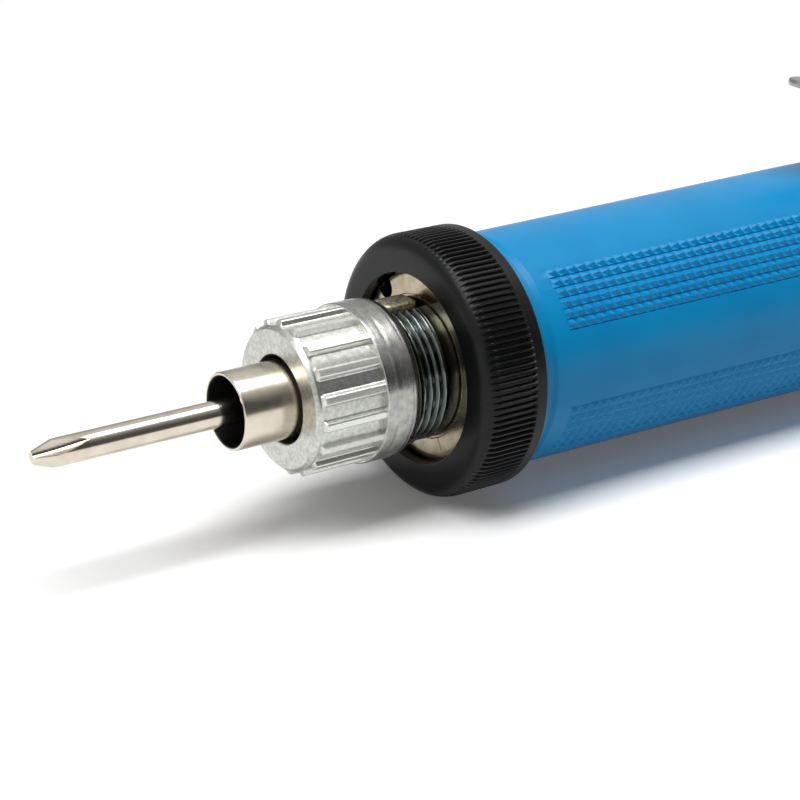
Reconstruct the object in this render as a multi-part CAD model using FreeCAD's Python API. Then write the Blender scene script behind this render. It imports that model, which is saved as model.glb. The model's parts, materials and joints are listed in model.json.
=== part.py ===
import FreeCAD, Part
import math
import os

# Lever-start electric screwdriver, lying on a bench.
# Millimetres. The pieces are drawn on the tool's own axis: X runs from the bit to the tail, with 0 at the
# coupling ring's front face, and Z is up. main() then moves them to the bench, where Z 0 is the surface.

Vector = FreeCAD.Vector
ALONG = Vector(1, 0, 0)
CENTRE = Vector(0, 0, 0)
ACROSS = Vector(0, 1, 0)
UP = Vector(0, 0, 1)
TOP_DEG = 90.0  # the tool's top, from the near side upwards

# Clearances
RUN = 0.05  # radial, a shaft that turns or slides in its hole
SEAT = 0.02  # radial, a piece fixed in its seat
FREE = 0.3  # between pieces that move past each other

# Coupling ring and nose flange
RING_R = 20.0
RING_LENGTH = 10.5
RING_WALL = 3.0
RING_LIP = 3.2
RING_OPENING_R = 14.45
RING_CORNER = 2.0
RING_BAND = 1.8  # smooth band behind the knurl
RING_GAP = 0.2  # ring to handle shoulder
KNURL_COUNT = 126
KNURL_DEPTH = 0.5
FLANGE_SETBACK = 1.8
FLANGE_GAP = 0.35
CLAMP_THICKNESS = 3.0
SPANNER_HOLE_R = 1.65
SPANNER_HOLE_SET = 0.9  # hole centre inside the flange's rim
SPANNER_HOLE_DEG = 131.0  # from the near side, upwards

# Barrel, torque nut and its thrust washer
BARREL_R = 10.6
BARREL_WALL = 1.6
THREAD_PITCH = 1.25
THREAD_DEPTH = 0.6
THREAD_CLEAR = 0.15
THREAD_SHOWN = 7.5  # nut to flange
PLAIN_NECK = 2.2  # unthreaded barrel beside the flange
BOSS_WALL = 5.0  # flange face to clutch chamber
NUT_COLLAR_WALL = 1.15
NUT_COLLAR_LENGTH = 5.9
NUT_BEVEL_LENGTH = 1.3  # rear edge of the collar
NUT_BEVEL_DROP = 0.35
NUT_RIB_LENGTH = 11.1
NUT_CORE_R = 10.7
NUT_FACE_R = 10.2
NUT_WALL = 1.4
NUT_FRONT_WALL = 2.7
NUT_WEB = 0.9  # joins the collar to the ribbed part
NUT_BORE_GAP = 0.8
NUT_RIB_COUNT = 18
NUT_RIB_HEIGHT = 0.8
NUT_RIB_WIDTH = 1.6
NUT_RIB_SET = 0.8  # front face to rib ends
NUT_RIB_SLOPE = 0.35
NUT_RIB_DEG = 14.7
TRAVEL_IN = 1.2  # nut towards the flange
TRAVEL_OUT = 1.25
WASHER_THICKNESS = 2.0
LUG_LENGTH = 5.5
LUG_WIDTH = 4.4
LUG_HEIGHT = 0.7  # above the barrel

# Chuck
SLEEVE_R = 5.74
SLEEVE_WALL = 0.64
SLEEVE_RIM_ROUND = 0.29
SLEEVE_OUT = 8.6  # mouth to nut face
SLEEVE_TRAVEL = 3.0
NOSE_RECESS = 5.3
SNAP_SET = 1.0
SNAP_THICKNESS = 0.7
SNAP_DEPTH = 0.5
LAND_LENGTH = 3.5
LOCK_BALL_R = 1.25
LOCK_BALL_SET = 1.6
LOCK_BALL_COUNT = 2
SLEEVE_SPRING_ROOM = 6.5
SLEEVE_SPRING_WIRE = 0.6
SLEEVE_SPRING_TURNS = 4
SHOULDER_OVERHANG = 1.0
SPINDLE_NOSE_R = 4.0
SPINDLE_R = 5.0
BIT_R = 2.0
BIT_OUT = 29.75  # tip to sleeve mouth
BIT_LENGTH = 45.0
BIT_POINT_R = 0.95
BIT_CONE = 2.9
FLUTE_COUNT = 4
FLUTE_LENGTH = 7.9
FLUTE_START_R = 0.65
FLUTE_ROUND = 1.15
FLUTE_DEG = 51.5

# Torque spring and clutch
TORQUE_WIRE_SHARE = 0.33  # of the room between the spindle and the barrel
TORQUE_SPRING_TURNS = 4
CLUTCH_PLATE_SET = 0.7
CLUTCH_PLATE = 1.5
CLUTCH_BALL_R = 1.15
CLUTCH_BALL_RIM = 0.2  # ball to case bore
CLUTCH_BALL_COUNT = 6
CAGE_THICKNESS = 1.8
BUSH_WALL = 1.6

# Gearbox, two planetary stages
MODULE = 0.6
SUN_TEETH = 12
PLANET_TEETH = 12
PLANET_COUNT = 3
PRESSURE_DEG = 25.0
ADDENDUM = 0.8  # of the module
ROOT_CLEAR = 0.2  # of the module
FLANK_GAP = 0.04
CASE_WALL = 1.5
CARRIER_THICKNESS = 1.8
OUTPUT_PLANET = 5.2
INPUT_PLANET = 4.8
PLANET_GAP = 0.3
PIN_R = 1.0
PLATE_THICKNESS = 2.0
PLATE_SCREW_COUNT = 3
PLATE_SCREW_DEG = 60.0

# Motor
CAN_LENGTH = 36.0
CAN_WALL = 1.0
CAN_GAP = 0.3  # inside the gear case bore
MOTOR_BOSS_R = 4.0
MOTOR_BUSH_R = 3.0
SHAFT_R = 1.15
AIR_GAP = 0.6
MAGNET = 2.5
POLE_COUNT = 2
MAGNET_DEG = 130.0
CORE_LENGTH = 22.0
CORE_SET = 5.7
CORE_SLOTS = 5
CORE_SLOT_WIDTH = 1.6
WINDING = 2.5
COMMUTATOR_R = 3.6
COMMUTATOR_LENGTH = 5.0
END_BELL = 6.0
BRUSH_HEIGHT = 3.0
BRUSH_WIDTH = 2.9
BRUSH_LENGTH = 5.0
BRUSH_COUNT = 2
HOLDER_WALL = 1.0
TERMINAL_HEIGHT = 5.0
MOTOR_SCREW_COUNT = 2
SCREW_R = 0.8
SCREW_HEAD_R = 1.5
SCREW_HEAD = 0.9

# Handle and grip panels
SPIGOT_WALL = 1.3
THREAD_FIT = 0.1
NECK_WALL = 1.9
NECK_LENGTH = 3.1
FRONT_WALL = 2.3
GRIP_WALL = 3.0
GRIP_TAPER = 66.0
PANEL_SET = 3.2
PANEL_LENGTH = 93.7
PANEL_DEPTH = 0.3
PANEL_DEGS = ((24.0, 57.0), (-48.0, -13.0))  # near side; the far side mirrors them

# Rear cap, inlet and bail
CAP_SIDES = 8
CAP_LENGTH = 16.0
CAP_SPIGOT = 7.0
CAP_SPIGOT_WALL = 2.0
CAP_WALL = 4.0
CAP_CHAMFER = 1.2
CAP_CORNER = 3.0
CAP_SCREW_SET = 3.5
CAP_SCREW_COUNT = 3
CAP_SCREW_DEG = 30.0
INLET_R = 6.0
INLET_WALL = 1.2
INLET_OUT = 8.0
INLET_FLANGE_R = 8.5
INLET_FLANGE = 2.0
INLET_NUT_SIDES = 6
INLET_FLOOR = 1.0
INLET_PIN_R = 0.6
INLET_PIN_COUNT = 3
INLET_PIN_RADIUS = 2.4
BAIL_WIRE_R = 1.25
BAIL_REACH = 34.0
BAIL_HOOK = 4.0  # pivot inside the cap's flat
BAIL_HOOK_BEND = 1.65
BAIL_CORNER = 8.0

# Lever start
PIVOT_SET = 12.0  # lever pivot to the handle's rear end
PIVOT_RISE = 3.9  # above the handle
LEVER_REACH = 62.0
LEVER_RISE = 10.5  # tip above the pivot
LEVER_THICKNESS = 1.2
LEVER_OFFSET = 1.5  # strip's middle above the pivot
LEVER_WIDTH = 9.6
LEVER_PRESS_DEG = 8.0
KNUCKLE_R = 2.3
LEVER_PIN_R = 1.0
BRACKET_LENGTH = 15.0
BRACKET_BASE = 1.2
BRACKET_EAR = 1.3
EAR_LENGTH = 7.0
BRACKET_SCREW_SPREAD = 5.8
PLUNGER_SET = 14.0  # plunger to pivot
PLUNGER_STEM = 6.0
PLUNGER_FLANGE = 9.0
PLUNGER_FLANGE_TOP = 1.2  # below the handle's bore
PLUNGER_FLANGE_THICKNESS = 1.4
PLUNGER_FOOT_R = 2.0
PLUNGER_FOOT = 2.0
SWITCH_LENGTH = 14.0
SWITCH_WIDTH = 6.6
SWITCH_HEIGHT = 6.0
SWITCH_KEY_R = 1.0
SWITCH_KEY = 0.8
BUTTON_SPRING_WIRE = 0.5
BUTTON_SPRING_TURNS = 4

# Direction rocker, on the near side
ROCKER_SET = 4.0  # behind the pivot, towards the front
ROCKER_LENGTH = 9.0
ROCKER_HEIGHT = 5.0
ROCKER_PROUD = 0.9
ROCKER_TILT_DEG = 8.0
ROCKER_PIN_R = 0.8
ROCKER_DEPTH = 4.5
ROCKER_WALL = 1.6
ROCKER_BODY_DEPTH = 9.0
BEZEL = 0.7
BEZEL_LIP = 1.2

# Chassis and board
CHASSIS_GAP = 0.15
CHASSIS_DISC = 2.0
CHASSIS_PLATE = 2.0
CHASSIS_DROP = 8.0  # plate's top below the axis
CHASSIS_FROM_MOTOR = 4.0
BOARD_BOSS = 1.0
BOARD_BOSS_R = 1.8
BOARD_THICKNESS = 1.6
BOARD_SET = 4.0  # from the chassis's front disc
BOARD_LENGTH = 30.0
BOARD_GAP = 0.63  # board to switch post
BOARD_WIDTH = 21.0
RELAY_LENGTH = 15.0
RELAY_WIDTH = 10.0
RELAY_HEIGHT = 9.0
CAPACITOR_R = 3.2
CAPACITOR_HEIGHT = 9.0

# Stations along the axis, from the ring's front face
flange_face = FLANGE_SETBACK
clamp_front = RING_LIP
handle_front = clamp_front + CLAMP_THICKNESS
neck_front = RING_LENGTH + RING_GAP
neck_end = neck_front + NECK_LENGTH
nut_rear = flange_face - THREAD_SHOWN
nut_step = nut_rear - NUT_COLLAR_LENGTH
nut_face = nut_step - NUT_RIB_LENGTH
nut_thread_front = nut_step + NUT_WEB
barrel_front = nut_thread_front + FREE + TRAVEL_IN
washer_front = nut_rear + FREE
washer_rear = washer_front + WASHER_THICKNESS
slot_end = washer_front + LUG_LENGTH + TRAVEL_IN + FREE
mouth = nut_face - SLEEVE_OUT
bit_tip = mouth - BIT_OUT
bit_end = bit_tip + BIT_LENGTH
spindle_front = mouth + NOSE_RECESS
snap_front = spindle_front + SNAP_SET
land_front = snap_front + SNAP_THICKNESS + FREE
land_rear = land_front + LAND_LENGTH
lock_ball_at = land_front + LOCK_BALL_SET
shoulder = land_rear + SLEEVE_SPRING_ROOM
sleeve_rear = shoulder - SHOULDER_OVERHANG
front_bush_front = sleeve_rear + SLEEVE_TRAVEL + FREE
front_bush_rear = washer_front - TRAVEL_OUT - FREE
chamber_front = flange_face + BOSS_WALL
clutch_plate_front = chamber_front + CLUTCH_PLATE_SET
clutch_plate_rear = clutch_plate_front + CLUTCH_PLATE
clutch_ball_at = clutch_plate_rear + SEAT + CLUTCH_BALL_R
cage_front = clutch_ball_at - CAGE_THICKNESS / 2
cage_rear = clutch_ball_at + CAGE_THICKNESS / 2
ring_2_front = clutch_ball_at + CLUTCH_BALL_R + SEAT
carrier_2_front = cage_rear + FREE
carrier_2_rear = carrier_2_front + CARRIER_THICKNESS
planet_2_front = carrier_2_rear + PLANET_GAP
planet_2_rear = planet_2_front + OUTPUT_PLANET
carrier_1_front = planet_2_rear + 3 * PLANET_GAP
carrier_1_rear = carrier_1_front + CARRIER_THICKNESS
ring_2_rear = planet_2_rear + PLANET_GAP
ring_1_front = ring_2_rear + FREE
planet_1_front = carrier_1_rear + PLANET_GAP
planet_1_rear = planet_1_front + INPUT_PLANET
plate_front = planet_1_rear + 3 * PLANET_GAP
case_end = plate_front + PLATE_THICKNESS
can_end = case_end + CAN_LENGTH
motor_end = can_end + END_BELL
core_front = case_end + CORE_SET
core_end = core_front + CORE_LENGTH
commutator_end = can_end - FREE
commutator_front = commutator_end - COMMUTATOR_LENGTH
chassis_front = motor_end + TERMINAL_HEIGHT + CHASSIS_FROM_MOTOR
board_front = chassis_front + CHASSIS_DISC + BOARD_SET
board_end = board_front + BOARD_LENGTH
plunger_at = board_end + BOARD_GAP + SWITCH_LENGTH / 2
pivot_at = plunger_at + PLUNGER_SET
rocker_at = pivot_at - ROCKER_SET
handle_end = pivot_at + PIVOT_SET
cap_spigot_front = handle_end - CAP_SPIGOT
chassis_end = cap_spigot_front
cap_end = handle_end + CAP_LENGTH
inlet_end = cap_end + INLET_FLANGE + INLET_OUT
bail_at = handle_end + CAP_LENGTH / 2

# Radii and heights that follow from them
ring_bore_r = RING_R - RING_WALL
spigot_r = ring_bore_r - THREAD_FIT
bore_r = spigot_r - SPIGOT_WALL
neck_r = bore_r + NECK_WALL
front_r = bore_r + FRONT_WALL
grip_r = bore_r + GRIP_WALL
case_r = bore_r - THREAD_FIT
case_bore_r = case_r - CASE_WALL
flange_r = RING_OPENING_R - FLANGE_GAP
barrel_bore_r = BARREL_R - BARREL_WALL
torque_spring_r = (barrel_bore_r + SPINDLE_R) / 2
torque_wire = (barrel_bore_r - SPINDLE_R) * TORQUE_WIRE_SHARE
nut_thread_r = BARREL_R + THREAD_CLEAR
collar_r = nut_thread_r + NUT_COLLAR_WALL
sleeve_bore_r = SLEEVE_R - SLEEVE_WALL
ring_teeth = SUN_TEETH + 2 * PLANET_TEETH
planet_orbit = MODULE * (SUN_TEETH + PLANET_TEETH) / 2
ring_root_r = MODULE * (ring_teeth / 2 + ADDENDUM + ROOT_CLEAR)
ball_orbit = case_bore_r - CLUTCH_BALL_RIM - CLUTCH_BALL_R
plate_screw_orbit = (ring_root_r + case_bore_r) / 2
carrier_r = MODULE * (ring_teeth / 2 - ADDENDUM) - FREE - SEAT
bush_r = SPINDLE_R + RUN + BUSH_WALL
can_r = case_bore_r - CAN_GAP
can_bore_r = can_r - CAN_WALL
core_r = can_bore_r - SEAT - MAGNET - AIR_GAP
cap_flat = RING_R  # the cap stands level with the ring
pivot_z = grip_r + PIVOT_RISE
lever_slope = math.atan((LEVER_RISE - LEVER_OFFSET) / LEVER_REACH)
lever_pressed = lever_slope - math.radians(LEVER_PRESS_DEG)
plunger_travel = PLUNGER_SET * (math.tan(lever_slope) - math.tan(lever_pressed))
bail_droop = math.asin((cap_flat - BAIL_WIRE_R - FREE) / BAIL_REACH)
bail_leg_y = cap_flat + SEAT + BAIL_HOOK_BEND
rocker_pin_y = -grip_r - ROCKER_PROUD + ROCKER_DEPTH - ROCKER_PIN_R
plate_top = -CHASSIS_DROP
board_bottom = plate_top + BOARD_BOSS
board_top = board_bottom + BOARD_THICKNESS
flange_top_z = bore_r - PLUNGER_FLANGE_TOP
flange_low_z = flange_top_z - PLUNGER_FLANGE_THICKNESS
foot_z = flange_low_z - PLUNGER_FOOT
key_top_z = foot_z - plunger_travel - FREE
switch_top_z = key_top_z - SWITCH_KEY
lever_under = (LEVER_OFFSET - LEVER_THICKNESS / 2) / math.cos(lever_slope)
plunger_top_z = pivot_z + lever_under + PLUNGER_SET * math.tan(lever_slope) - FREE

# Place on the bench: mid length at the origin, the ring and the cap's flat on the surface
tail = bail_at + BAIL_REACH * math.cos(bail_droop) + BAIL_WIRE_R
MOVE = Vector(-(bit_tip + tail) / 2, 0, RING_R)


# Shape helpers


def turned(points):
    """A solid of revolution about the tool's axis from (station, radius) corners."""
    corners = [Vector(s, 0, r) for s, r in points]
    face = Part.Face(Part.makePolygon(corners + corners[:1]))
    return face.revolve(CENTRE, ALONG, 360)


def rod(s0, s1, r):
    """A round bar on the axis."""
    return Part.makeCylinder(r, s1 - s0, Vector(s0, 0, 0), ALONG)


def tube(s0, s1, outer, inner):
    """A plain tube on the axis."""
    return turned([(s0, inner), (s1, inner), (s1, outer), (s0, outer)])


def block(x0, x1, y0, y1, z0, z1):
    """A box between two corners."""
    return Part.makeBox(x1 - x0, y1 - y0, z1 - z0, Vector(x0, y0, z0))


def turn(shape, degrees):
    """A copy turned about the axis, from the near side (-Y) upwards."""
    copy = shape.copy()
    copy.rotate(CENTRE, ALONG, -degrees)
    return copy


def around(shape, count, start=0.0):
    """Copies spread evenly about the axis, as one compound."""
    return Part.makeCompound([turn(shape, start + 360.0 * i / count) for i in range(count)])


def on_side(shape, r):
    """A shape drawn about the X axis, moved out to the near side at radius r."""
    copy = shape.copy()
    copy.translate(Vector(0, -r, 0))
    return copy


def upright(x, y, z0, z1, r):
    """A vertical round bar."""
    return Part.makeCylinder(r, z1 - z0, Vector(x, y, z0), UP)


def crossbar(x, z, y0, y1, r):
    """A round bar along Y."""
    return Part.makeCylinder(r, y1 - y0, Vector(x, y0, z), ACROSS)


def prism(flat, sides, s0, s1):
    """A bar on the axis with even flat sides at that distance, one of them underneath."""
    corner = flat / math.cos(math.pi / sides)
    ring = []
    for i in range(sides + 1):
        angle = math.pi * (2 * i + 1) / sides - math.pi / 2
        ring.append(Vector(s0, corner * math.cos(angle), corner * math.sin(angle)))
    return Part.Face(Part.makePolygon(ring)).extrude(Vector(s1 - s0, 0, 0))


def radial(s, r0, r1, r):
    """A round bar pointing out to the near side."""
    return Part.makeCylinder(r, r1 - r0, Vector(s, -r0, 0), ACROSS * -1)


def screw(seat, outward, length):
    """A pan-head screw on the axis, its head behind its seat when outward is 1, or before it at -1."""
    way = Vector(outward, 0, 0)
    foot = Vector(seat, 0, 0)
    shank = Part.makeCylinder(SCREW_R - SEAT, length, foot, way * -1)
    head = Part.makeCylinder(SCREW_HEAD_R, SCREW_HEAD, foot, way)
    return shank.fuse(head).removeSplitter()


# Coils


def half_arc(start, end, tangent):
    """The arc from start to end that leaves start along tangent."""
    chord = end - start
    along = Vector(chord).normalize()
    lean = tangent.getAngle(chord)
    side = (tangent - along * tangent.dot(along)).normalize()
    middle = (start + end) * 0.5 + side * (chord.Length / 2 * math.tan(lean / 2))
    return Part.Arc(start, middle, end).toShape()


def biarc(p0, t0, p1, t1):
    """Two tangent arcs from p0 along t0 to p1 along t1."""
    v = p1 - p0
    t = t0 + t1
    bend = 2 * (1 - t0.dot(t1))
    reach = (-v.dot(t) + math.sqrt(v.dot(t) ** 2 + bend * v.dot(v))) / bend
    joint = (p0 + t0 * reach + p1 - t1 * reach) * 0.5
    back = half_arc(p1, joint, t1 * -1)
    onward = Part.Arc(joint, back.valueAt(middle_of(back)), p1).toShape()
    return [half_arc(p0, joint, t0), onward]


def middle_of(edge):
    """The parameter half way along an edge."""
    return (edge.FirstParameter + edge.LastParameter) / 2


def coil(mean_r, wire, turns, length):
    """A round-wire spring along X from 0 to length, as one tube on quarter-turn biarcs."""
    rise = (length - wire) / turns

    def point(quarter):
        angle = quarter * math.pi / 2
        along = wire / 2 + rise * quarter / 4
        return Vector(along, mean_r * math.cos(angle), mean_r * math.sin(angle))

    def heading(quarter):
        angle = quarter * math.pi / 2
        around_x = Vector(0, -math.sin(angle), math.cos(angle)) * mean_r
        return (around_x + Vector(rise / (2 * math.pi), 0, 0)).normalize()

    edges = []
    for q in range(4 * turns):
        edges += biarc(point(q), heading(q), point(q + 1), heading(q + 1))
    section = Part.Wire(Part.makeCircle(wire / 2, point(0), heading(0)))
    shell = Part.BRepOffsetAPI.MakePipeShell(Part.Wire(edges))
    shell.add(section)
    shell.build()
    shell.makeSolid()
    print("coil gap between turns %.2f mm" % (rise - wire))
    return shell.shape()


# Gears


def involute(base, r):
    """The angle that an involute from a base circle has turned through at radius r."""
    lean = math.acos(min(1.0, base / r))
    return math.tan(lean) - lean


def tooth_edges(teeth, inner, outer, swell):
    """Edges of a toothed outline between two radii; swell widens each tooth at the pitch circle."""
    pitch = MODULE * teeth / 2
    base = pitch * math.cos(math.radians(PRESSURE_DEG))
    half = math.pi / (2 * teeth) + swell / pitch

    def flank(r, side, middle):
        turned_by = involute(base, pitch) - involute(base, max(r, base))
        angle = middle + side * (half + turned_by)
        return Vector(0, -r * math.cos(angle), r * math.sin(angle))

    def spot(r, angle):
        return Vector(0, -r * math.cos(angle), r * math.sin(angle))

    step = 2 * math.pi / teeth
    foot = max(inner, base)
    edges = []
    for i in range(teeth):
        middle = i * step
        mid_r = (foot + outer) / 2
        low = flank(inner, -1, middle)
        up = flank(inner, 1, middle)
        if inner < base:
            edges.append(Part.LineSegment(low, flank(foot, -1, middle)).toShape())
        rising = [flank(r, -1, middle) for r in (foot, mid_r, outer)]
        falling = [flank(r, 1, middle) for r in (outer, mid_r, foot)]
        edges.append(Part.Arc(*rising).toShape())
        edges.append(Part.Arc(rising[2], spot(outer, middle), falling[0]).toShape())
        edges.append(Part.Arc(*falling).toShape())
        if inner < base:
            edges.append(Part.LineSegment(falling[2], up).toShape())
        gap_end = flank(inner, -1, middle + step)
        edges.append(Part.Arc(up, spot(inner, middle + step / 2), gap_end).toShape())
    return edges


def outer_gear(teeth, s0, s1, bore):
    """A spur gear with a bore, its first tooth on the near side."""
    pitch = MODULE * teeth / 2
    root = pitch - MODULE * (ADDENDUM + ROOT_CLEAR)
    rim = Part.Wire(tooth_edges(teeth, root, pitch + MODULE * ADDENDUM, -FLANK_GAP))
    hole = Part.Wire(Part.makeCircle(bore, CENTRE, ALONG))
    gear = Part.Face([rim, hole]).extrude(Vector(s1 - s0, 0, 0))
    gear.translate(Vector(s0, 0, 0))
    return gear


def inner_gear(s0, s1, outside):
    """A ring gear with a tooth centred on the near side."""
    pitch = MODULE * ring_teeth / 2
    tip = pitch - MODULE * ADDENDUM
    root = pitch + MODULE * (ADDENDUM + ROOT_CLEAR)
    spaces = Part.Wire(tooth_edges(ring_teeth, tip, root, FLANK_GAP))
    rim = Part.Wire(Part.makeCircle(outside, CENTRE, ALONG))
    gear = Part.Face([rim, spaces]).extrude(Vector(s1 - s0, 0, 0))
    gear.translate(Vector(s0, 0, 0))
    return turn(gear, 180.0 / ring_teeth)


# Chuck


def bit():
    """A round driver bit with a cross point and a groove for the locking balls."""
    body = turned([
        (bit_tip, 0), (bit_tip, BIT_POINT_R), (bit_tip + BIT_CONE, BIT_R),
        (bit_end, BIT_R), (bit_end, 0),
    ])
    lean = math.atan((BIT_R - FLUTE_START_R) / FLUTE_LENGTH)
    climb = Vector(math.cos(lean), -math.sin(lean), 0)
    start = Vector(bit_tip, -FLUTE_START_R - FLUTE_ROUND / math.cos(lean), 0)
    flute = Part.makeCylinder(FLUTE_ROUND, 2 * FLUTE_LENGTH, start - climb * BIT_R, climb)
    at = Vector(lock_ball_at, 0, 0)
    groove = Part.makeTorus(SPINDLE_NOSE_R - LOCK_BALL_R, LOCK_BALL_R + RUN, at, ALONG)
    return body.cut(around(flute, FLUTE_COUNT, FLUTE_DEG)).cut(groove)


def spindle():
    """The output spindle: bit socket and ball holes in front, planet carrier behind."""
    body = turned([
        (spindle_front, 0), (spindle_front, SPINDLE_NOSE_R), (shoulder, SPINDLE_NOSE_R),
        (shoulder, SPINDLE_R), (carrier_2_front, SPINDLE_R), (carrier_2_front, carrier_r),
        (carrier_2_rear, carrier_r), (carrier_2_rear, 0),
    ])
    socket = rod(spindle_front, bit_end + FREE, BIT_R + SEAT)
    snap_rear = snap_front + SNAP_THICKNESS + SEAT
    snap_groove = tube(snap_front - SEAT, snap_rear, SPINDLE_R, SPINDLE_NOSE_R - SNAP_DEPTH)
    ball_hole = radial(lock_ball_at, 0, SPINDLE_R, LOCK_BALL_R + RUN)
    pin_hole = on_side(rod(carrier_2_front, carrier_2_rear, PIN_R + SEAT), planet_orbit)
    holes = [around(ball_hole, LOCK_BALL_COUNT), around(pin_hole, PLANET_COUNT)]
    return body.cut([socket, snap_groove] + holes)


def lock_balls():
    """The two balls that hold the bit."""
    ball = Part.makeSphere(LOCK_BALL_R, Vector(lock_ball_at, 0, 0))
    return around(on_side(ball, SPINDLE_NOSE_R - LOCK_BALL_R), LOCK_BALL_COUNT)


def snap_ring():
    """The open ring that stops the sleeve."""
    rear = snap_front + SNAP_THICKNESS
    ring = tube(snap_front, rear, sleeve_bore_r - FREE, SPINDLE_NOSE_R - SNAP_DEPTH + SEAT)
    gap = block(snap_front - FREE, rear + FREE, -SLEEVE_R, 0, -SNAP_DEPTH, SNAP_DEPTH)
    return ring.cut(gap)


def chuck_sleeve():
    """The sliding sleeve with its rounded mouth and the land that keeps the balls in."""
    land_r = SPINDLE_NOSE_R + RUN
    sleeve = turned([
        (mouth, sleeve_bore_r), (land_front, sleeve_bore_r), (land_front, land_r),
        (land_rear, land_r), (land_rear, sleeve_bore_r), (sleeve_rear, sleeve_bore_r),
        (sleeve_rear, SLEEVE_R), (mouth, SLEEVE_R),
    ])
    rim = [e for e in sleeve.Edges if abs(e.BoundBox.XMax - mouth) < SEAT]
    return sleeve.makeFillet(SLEEVE_RIM_ROUND, rim)


def sleeve_spring():
    """The spring that pushes the sleeve forward."""
    room = shoulder - land_rear - 2 * SEAT
    mean_r = (SPINDLE_NOSE_R + sleeve_bore_r) / 2
    spring = coil(mean_r, SLEEVE_SPRING_WIRE, SLEEVE_SPRING_TURNS, room)
    spring.translate(Vector(land_rear + SEAT, 0, 0))
    return spring


# Nose


def thread_profile():
    """Corners of the barrel's outside from the flange to its front end, grooved at the thread's pitch."""
    corners = []
    at = flange_face - PLAIN_NECK
    while at - THREAD_PITCH > barrel_front:
        corners.append((at, BARREL_R))
        corners.append((at - THREAD_PITCH / 2, BARREL_R - THREAD_DEPTH))
        at -= THREAD_PITCH
    corners.append((at, BARREL_R))
    corners.append((barrel_front, BARREL_R))
    return corners


def nose_housing():
    """Threaded barrel, flange and gear case in one die casting."""
    bores = [
        (barrel_front, barrel_bore_r), (chamber_front, barrel_bore_r),
        (chamber_front, case_bore_r), (case_end, case_bore_r),
    ]
    outside = [
        (case_end, case_r), (handle_front, case_r), (handle_front, spigot_r), (clamp_front, spigot_r),
        (clamp_front, flange_r), (flange_face, flange_r), (flange_face, BARREL_R),
    ]
    body = turned(bores + outside + thread_profile())
    half = LUG_WIDTH / 2 + FREE
    slot = block(barrel_front, slot_end, -2 * BARREL_R, 0, -half, half)
    hole = on_side(rod(flange_face, clamp_front, SPANNER_HOLE_R), flange_r - SPANNER_HOLE_SET)
    return body.cut([turn(slot, TOP_DEG), turn(slot, -TOP_DEG), turn(hole, SPANNER_HOLE_DEG)])


def torque_nut():
    """The ribbed nut that sets the clutch spring."""
    bore = SLEEVE_R + NUT_BORE_GAP
    cavity = NUT_CORE_R - NUT_WALL
    floor = nut_face + NUT_FRONT_WALL
    edge = NUT_CORE_R - NUT_FACE_R
    body = turned([
        (nut_face, bore), (floor, bore), (floor, cavity), (nut_thread_front, cavity),
        (nut_thread_front, nut_thread_r), (nut_rear, nut_thread_r), (nut_rear, collar_r - NUT_BEVEL_DROP),
        (nut_rear - NUT_BEVEL_LENGTH, collar_r), (nut_step, collar_r), (nut_step, NUT_CORE_R),
        (nut_face + edge, NUT_CORE_R), (nut_face, NUT_FACE_R),
    ])
    front = nut_face + NUT_RIB_SET
    half = NUT_RIB_WIDTH / 2
    low = NUT_CORE_R - NUT_WALL / 2
    rib_r = NUT_CORE_R + NUT_RIB_HEIGHT
    slope = front + NUT_RIB_SLOPE
    side = [(front, NUT_CORE_R), (slope, rib_r), (nut_step, rib_r), (nut_step, low), (front, low)]
    corners = [Vector(s, -r, -half) for s, r in side]
    rib = Part.Face(Part.makePolygon(corners + corners[:1])).extrude(UP * NUT_RIB_WIDTH)
    return body.fuse(around(rib, NUT_RIB_COUNT, NUT_RIB_DEG).Solids).removeSplitter()


def thrust_washer():
    """The washer between the nut and the clutch spring, with two lugs in the barrel's slots."""
    hole = SPINDLE_R + 2 * FREE
    ring = tube(washer_front, washer_rear, barrel_bore_r - RUN, hole)
    half = LUG_WIDTH / 2
    reach = BARREL_R + LUG_HEIGHT
    inside = barrel_bore_r - WASHER_THICKNESS
    end = washer_front + LUG_LENGTH
    lug = block(washer_front, end, -2 * reach, -inside, -half, half)
    lug = lug.common(rod(washer_front, end, reach))
    lug = lug.cut(block(washer_rear, end, -barrel_bore_r, 0, -LUG_WIDTH, LUG_WIDTH))
    return ring.fuse([turn(lug, TOP_DEG), turn(lug, -TOP_DEG)]).removeSplitter()


def torque_spring():
    """The clutch spring between the thrust washer and the clutch plate."""
    room = clutch_plate_front - washer_rear - 2 * SEAT
    spring = coil(torque_spring_r, torque_wire, TORQUE_SPRING_TURNS, room)
    spring.translate(Vector(washer_rear + SEAT, 0, 0))
    return spring


def clutch_plate():
    """The plate between the torque spring and the clutch balls."""
    return tube(clutch_plate_front, clutch_plate_rear, case_bore_r - RUN, SPINDLE_R + 2 * FREE)


def clutch_balls():
    """The balls that ride on the clutch ring gear's face."""
    ball = Part.makeSphere(CLUTCH_BALL_R, Vector(clutch_ball_at, 0, 0))
    return around(on_side(ball, ball_orbit), CLUTCH_BALL_COUNT)


def ball_cage():
    """The fixed plate that keeps the clutch balls in place and carries the rear bush."""
    plate = tube(cage_front, cage_rear, case_bore_r - SEAT, bush_r + SEAT)
    hole = on_side(rod(cage_front, cage_rear, CLUTCH_BALL_R + RUN), ball_orbit)
    return plate.cut(around(hole, CLUTCH_BALL_COUNT))


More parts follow.
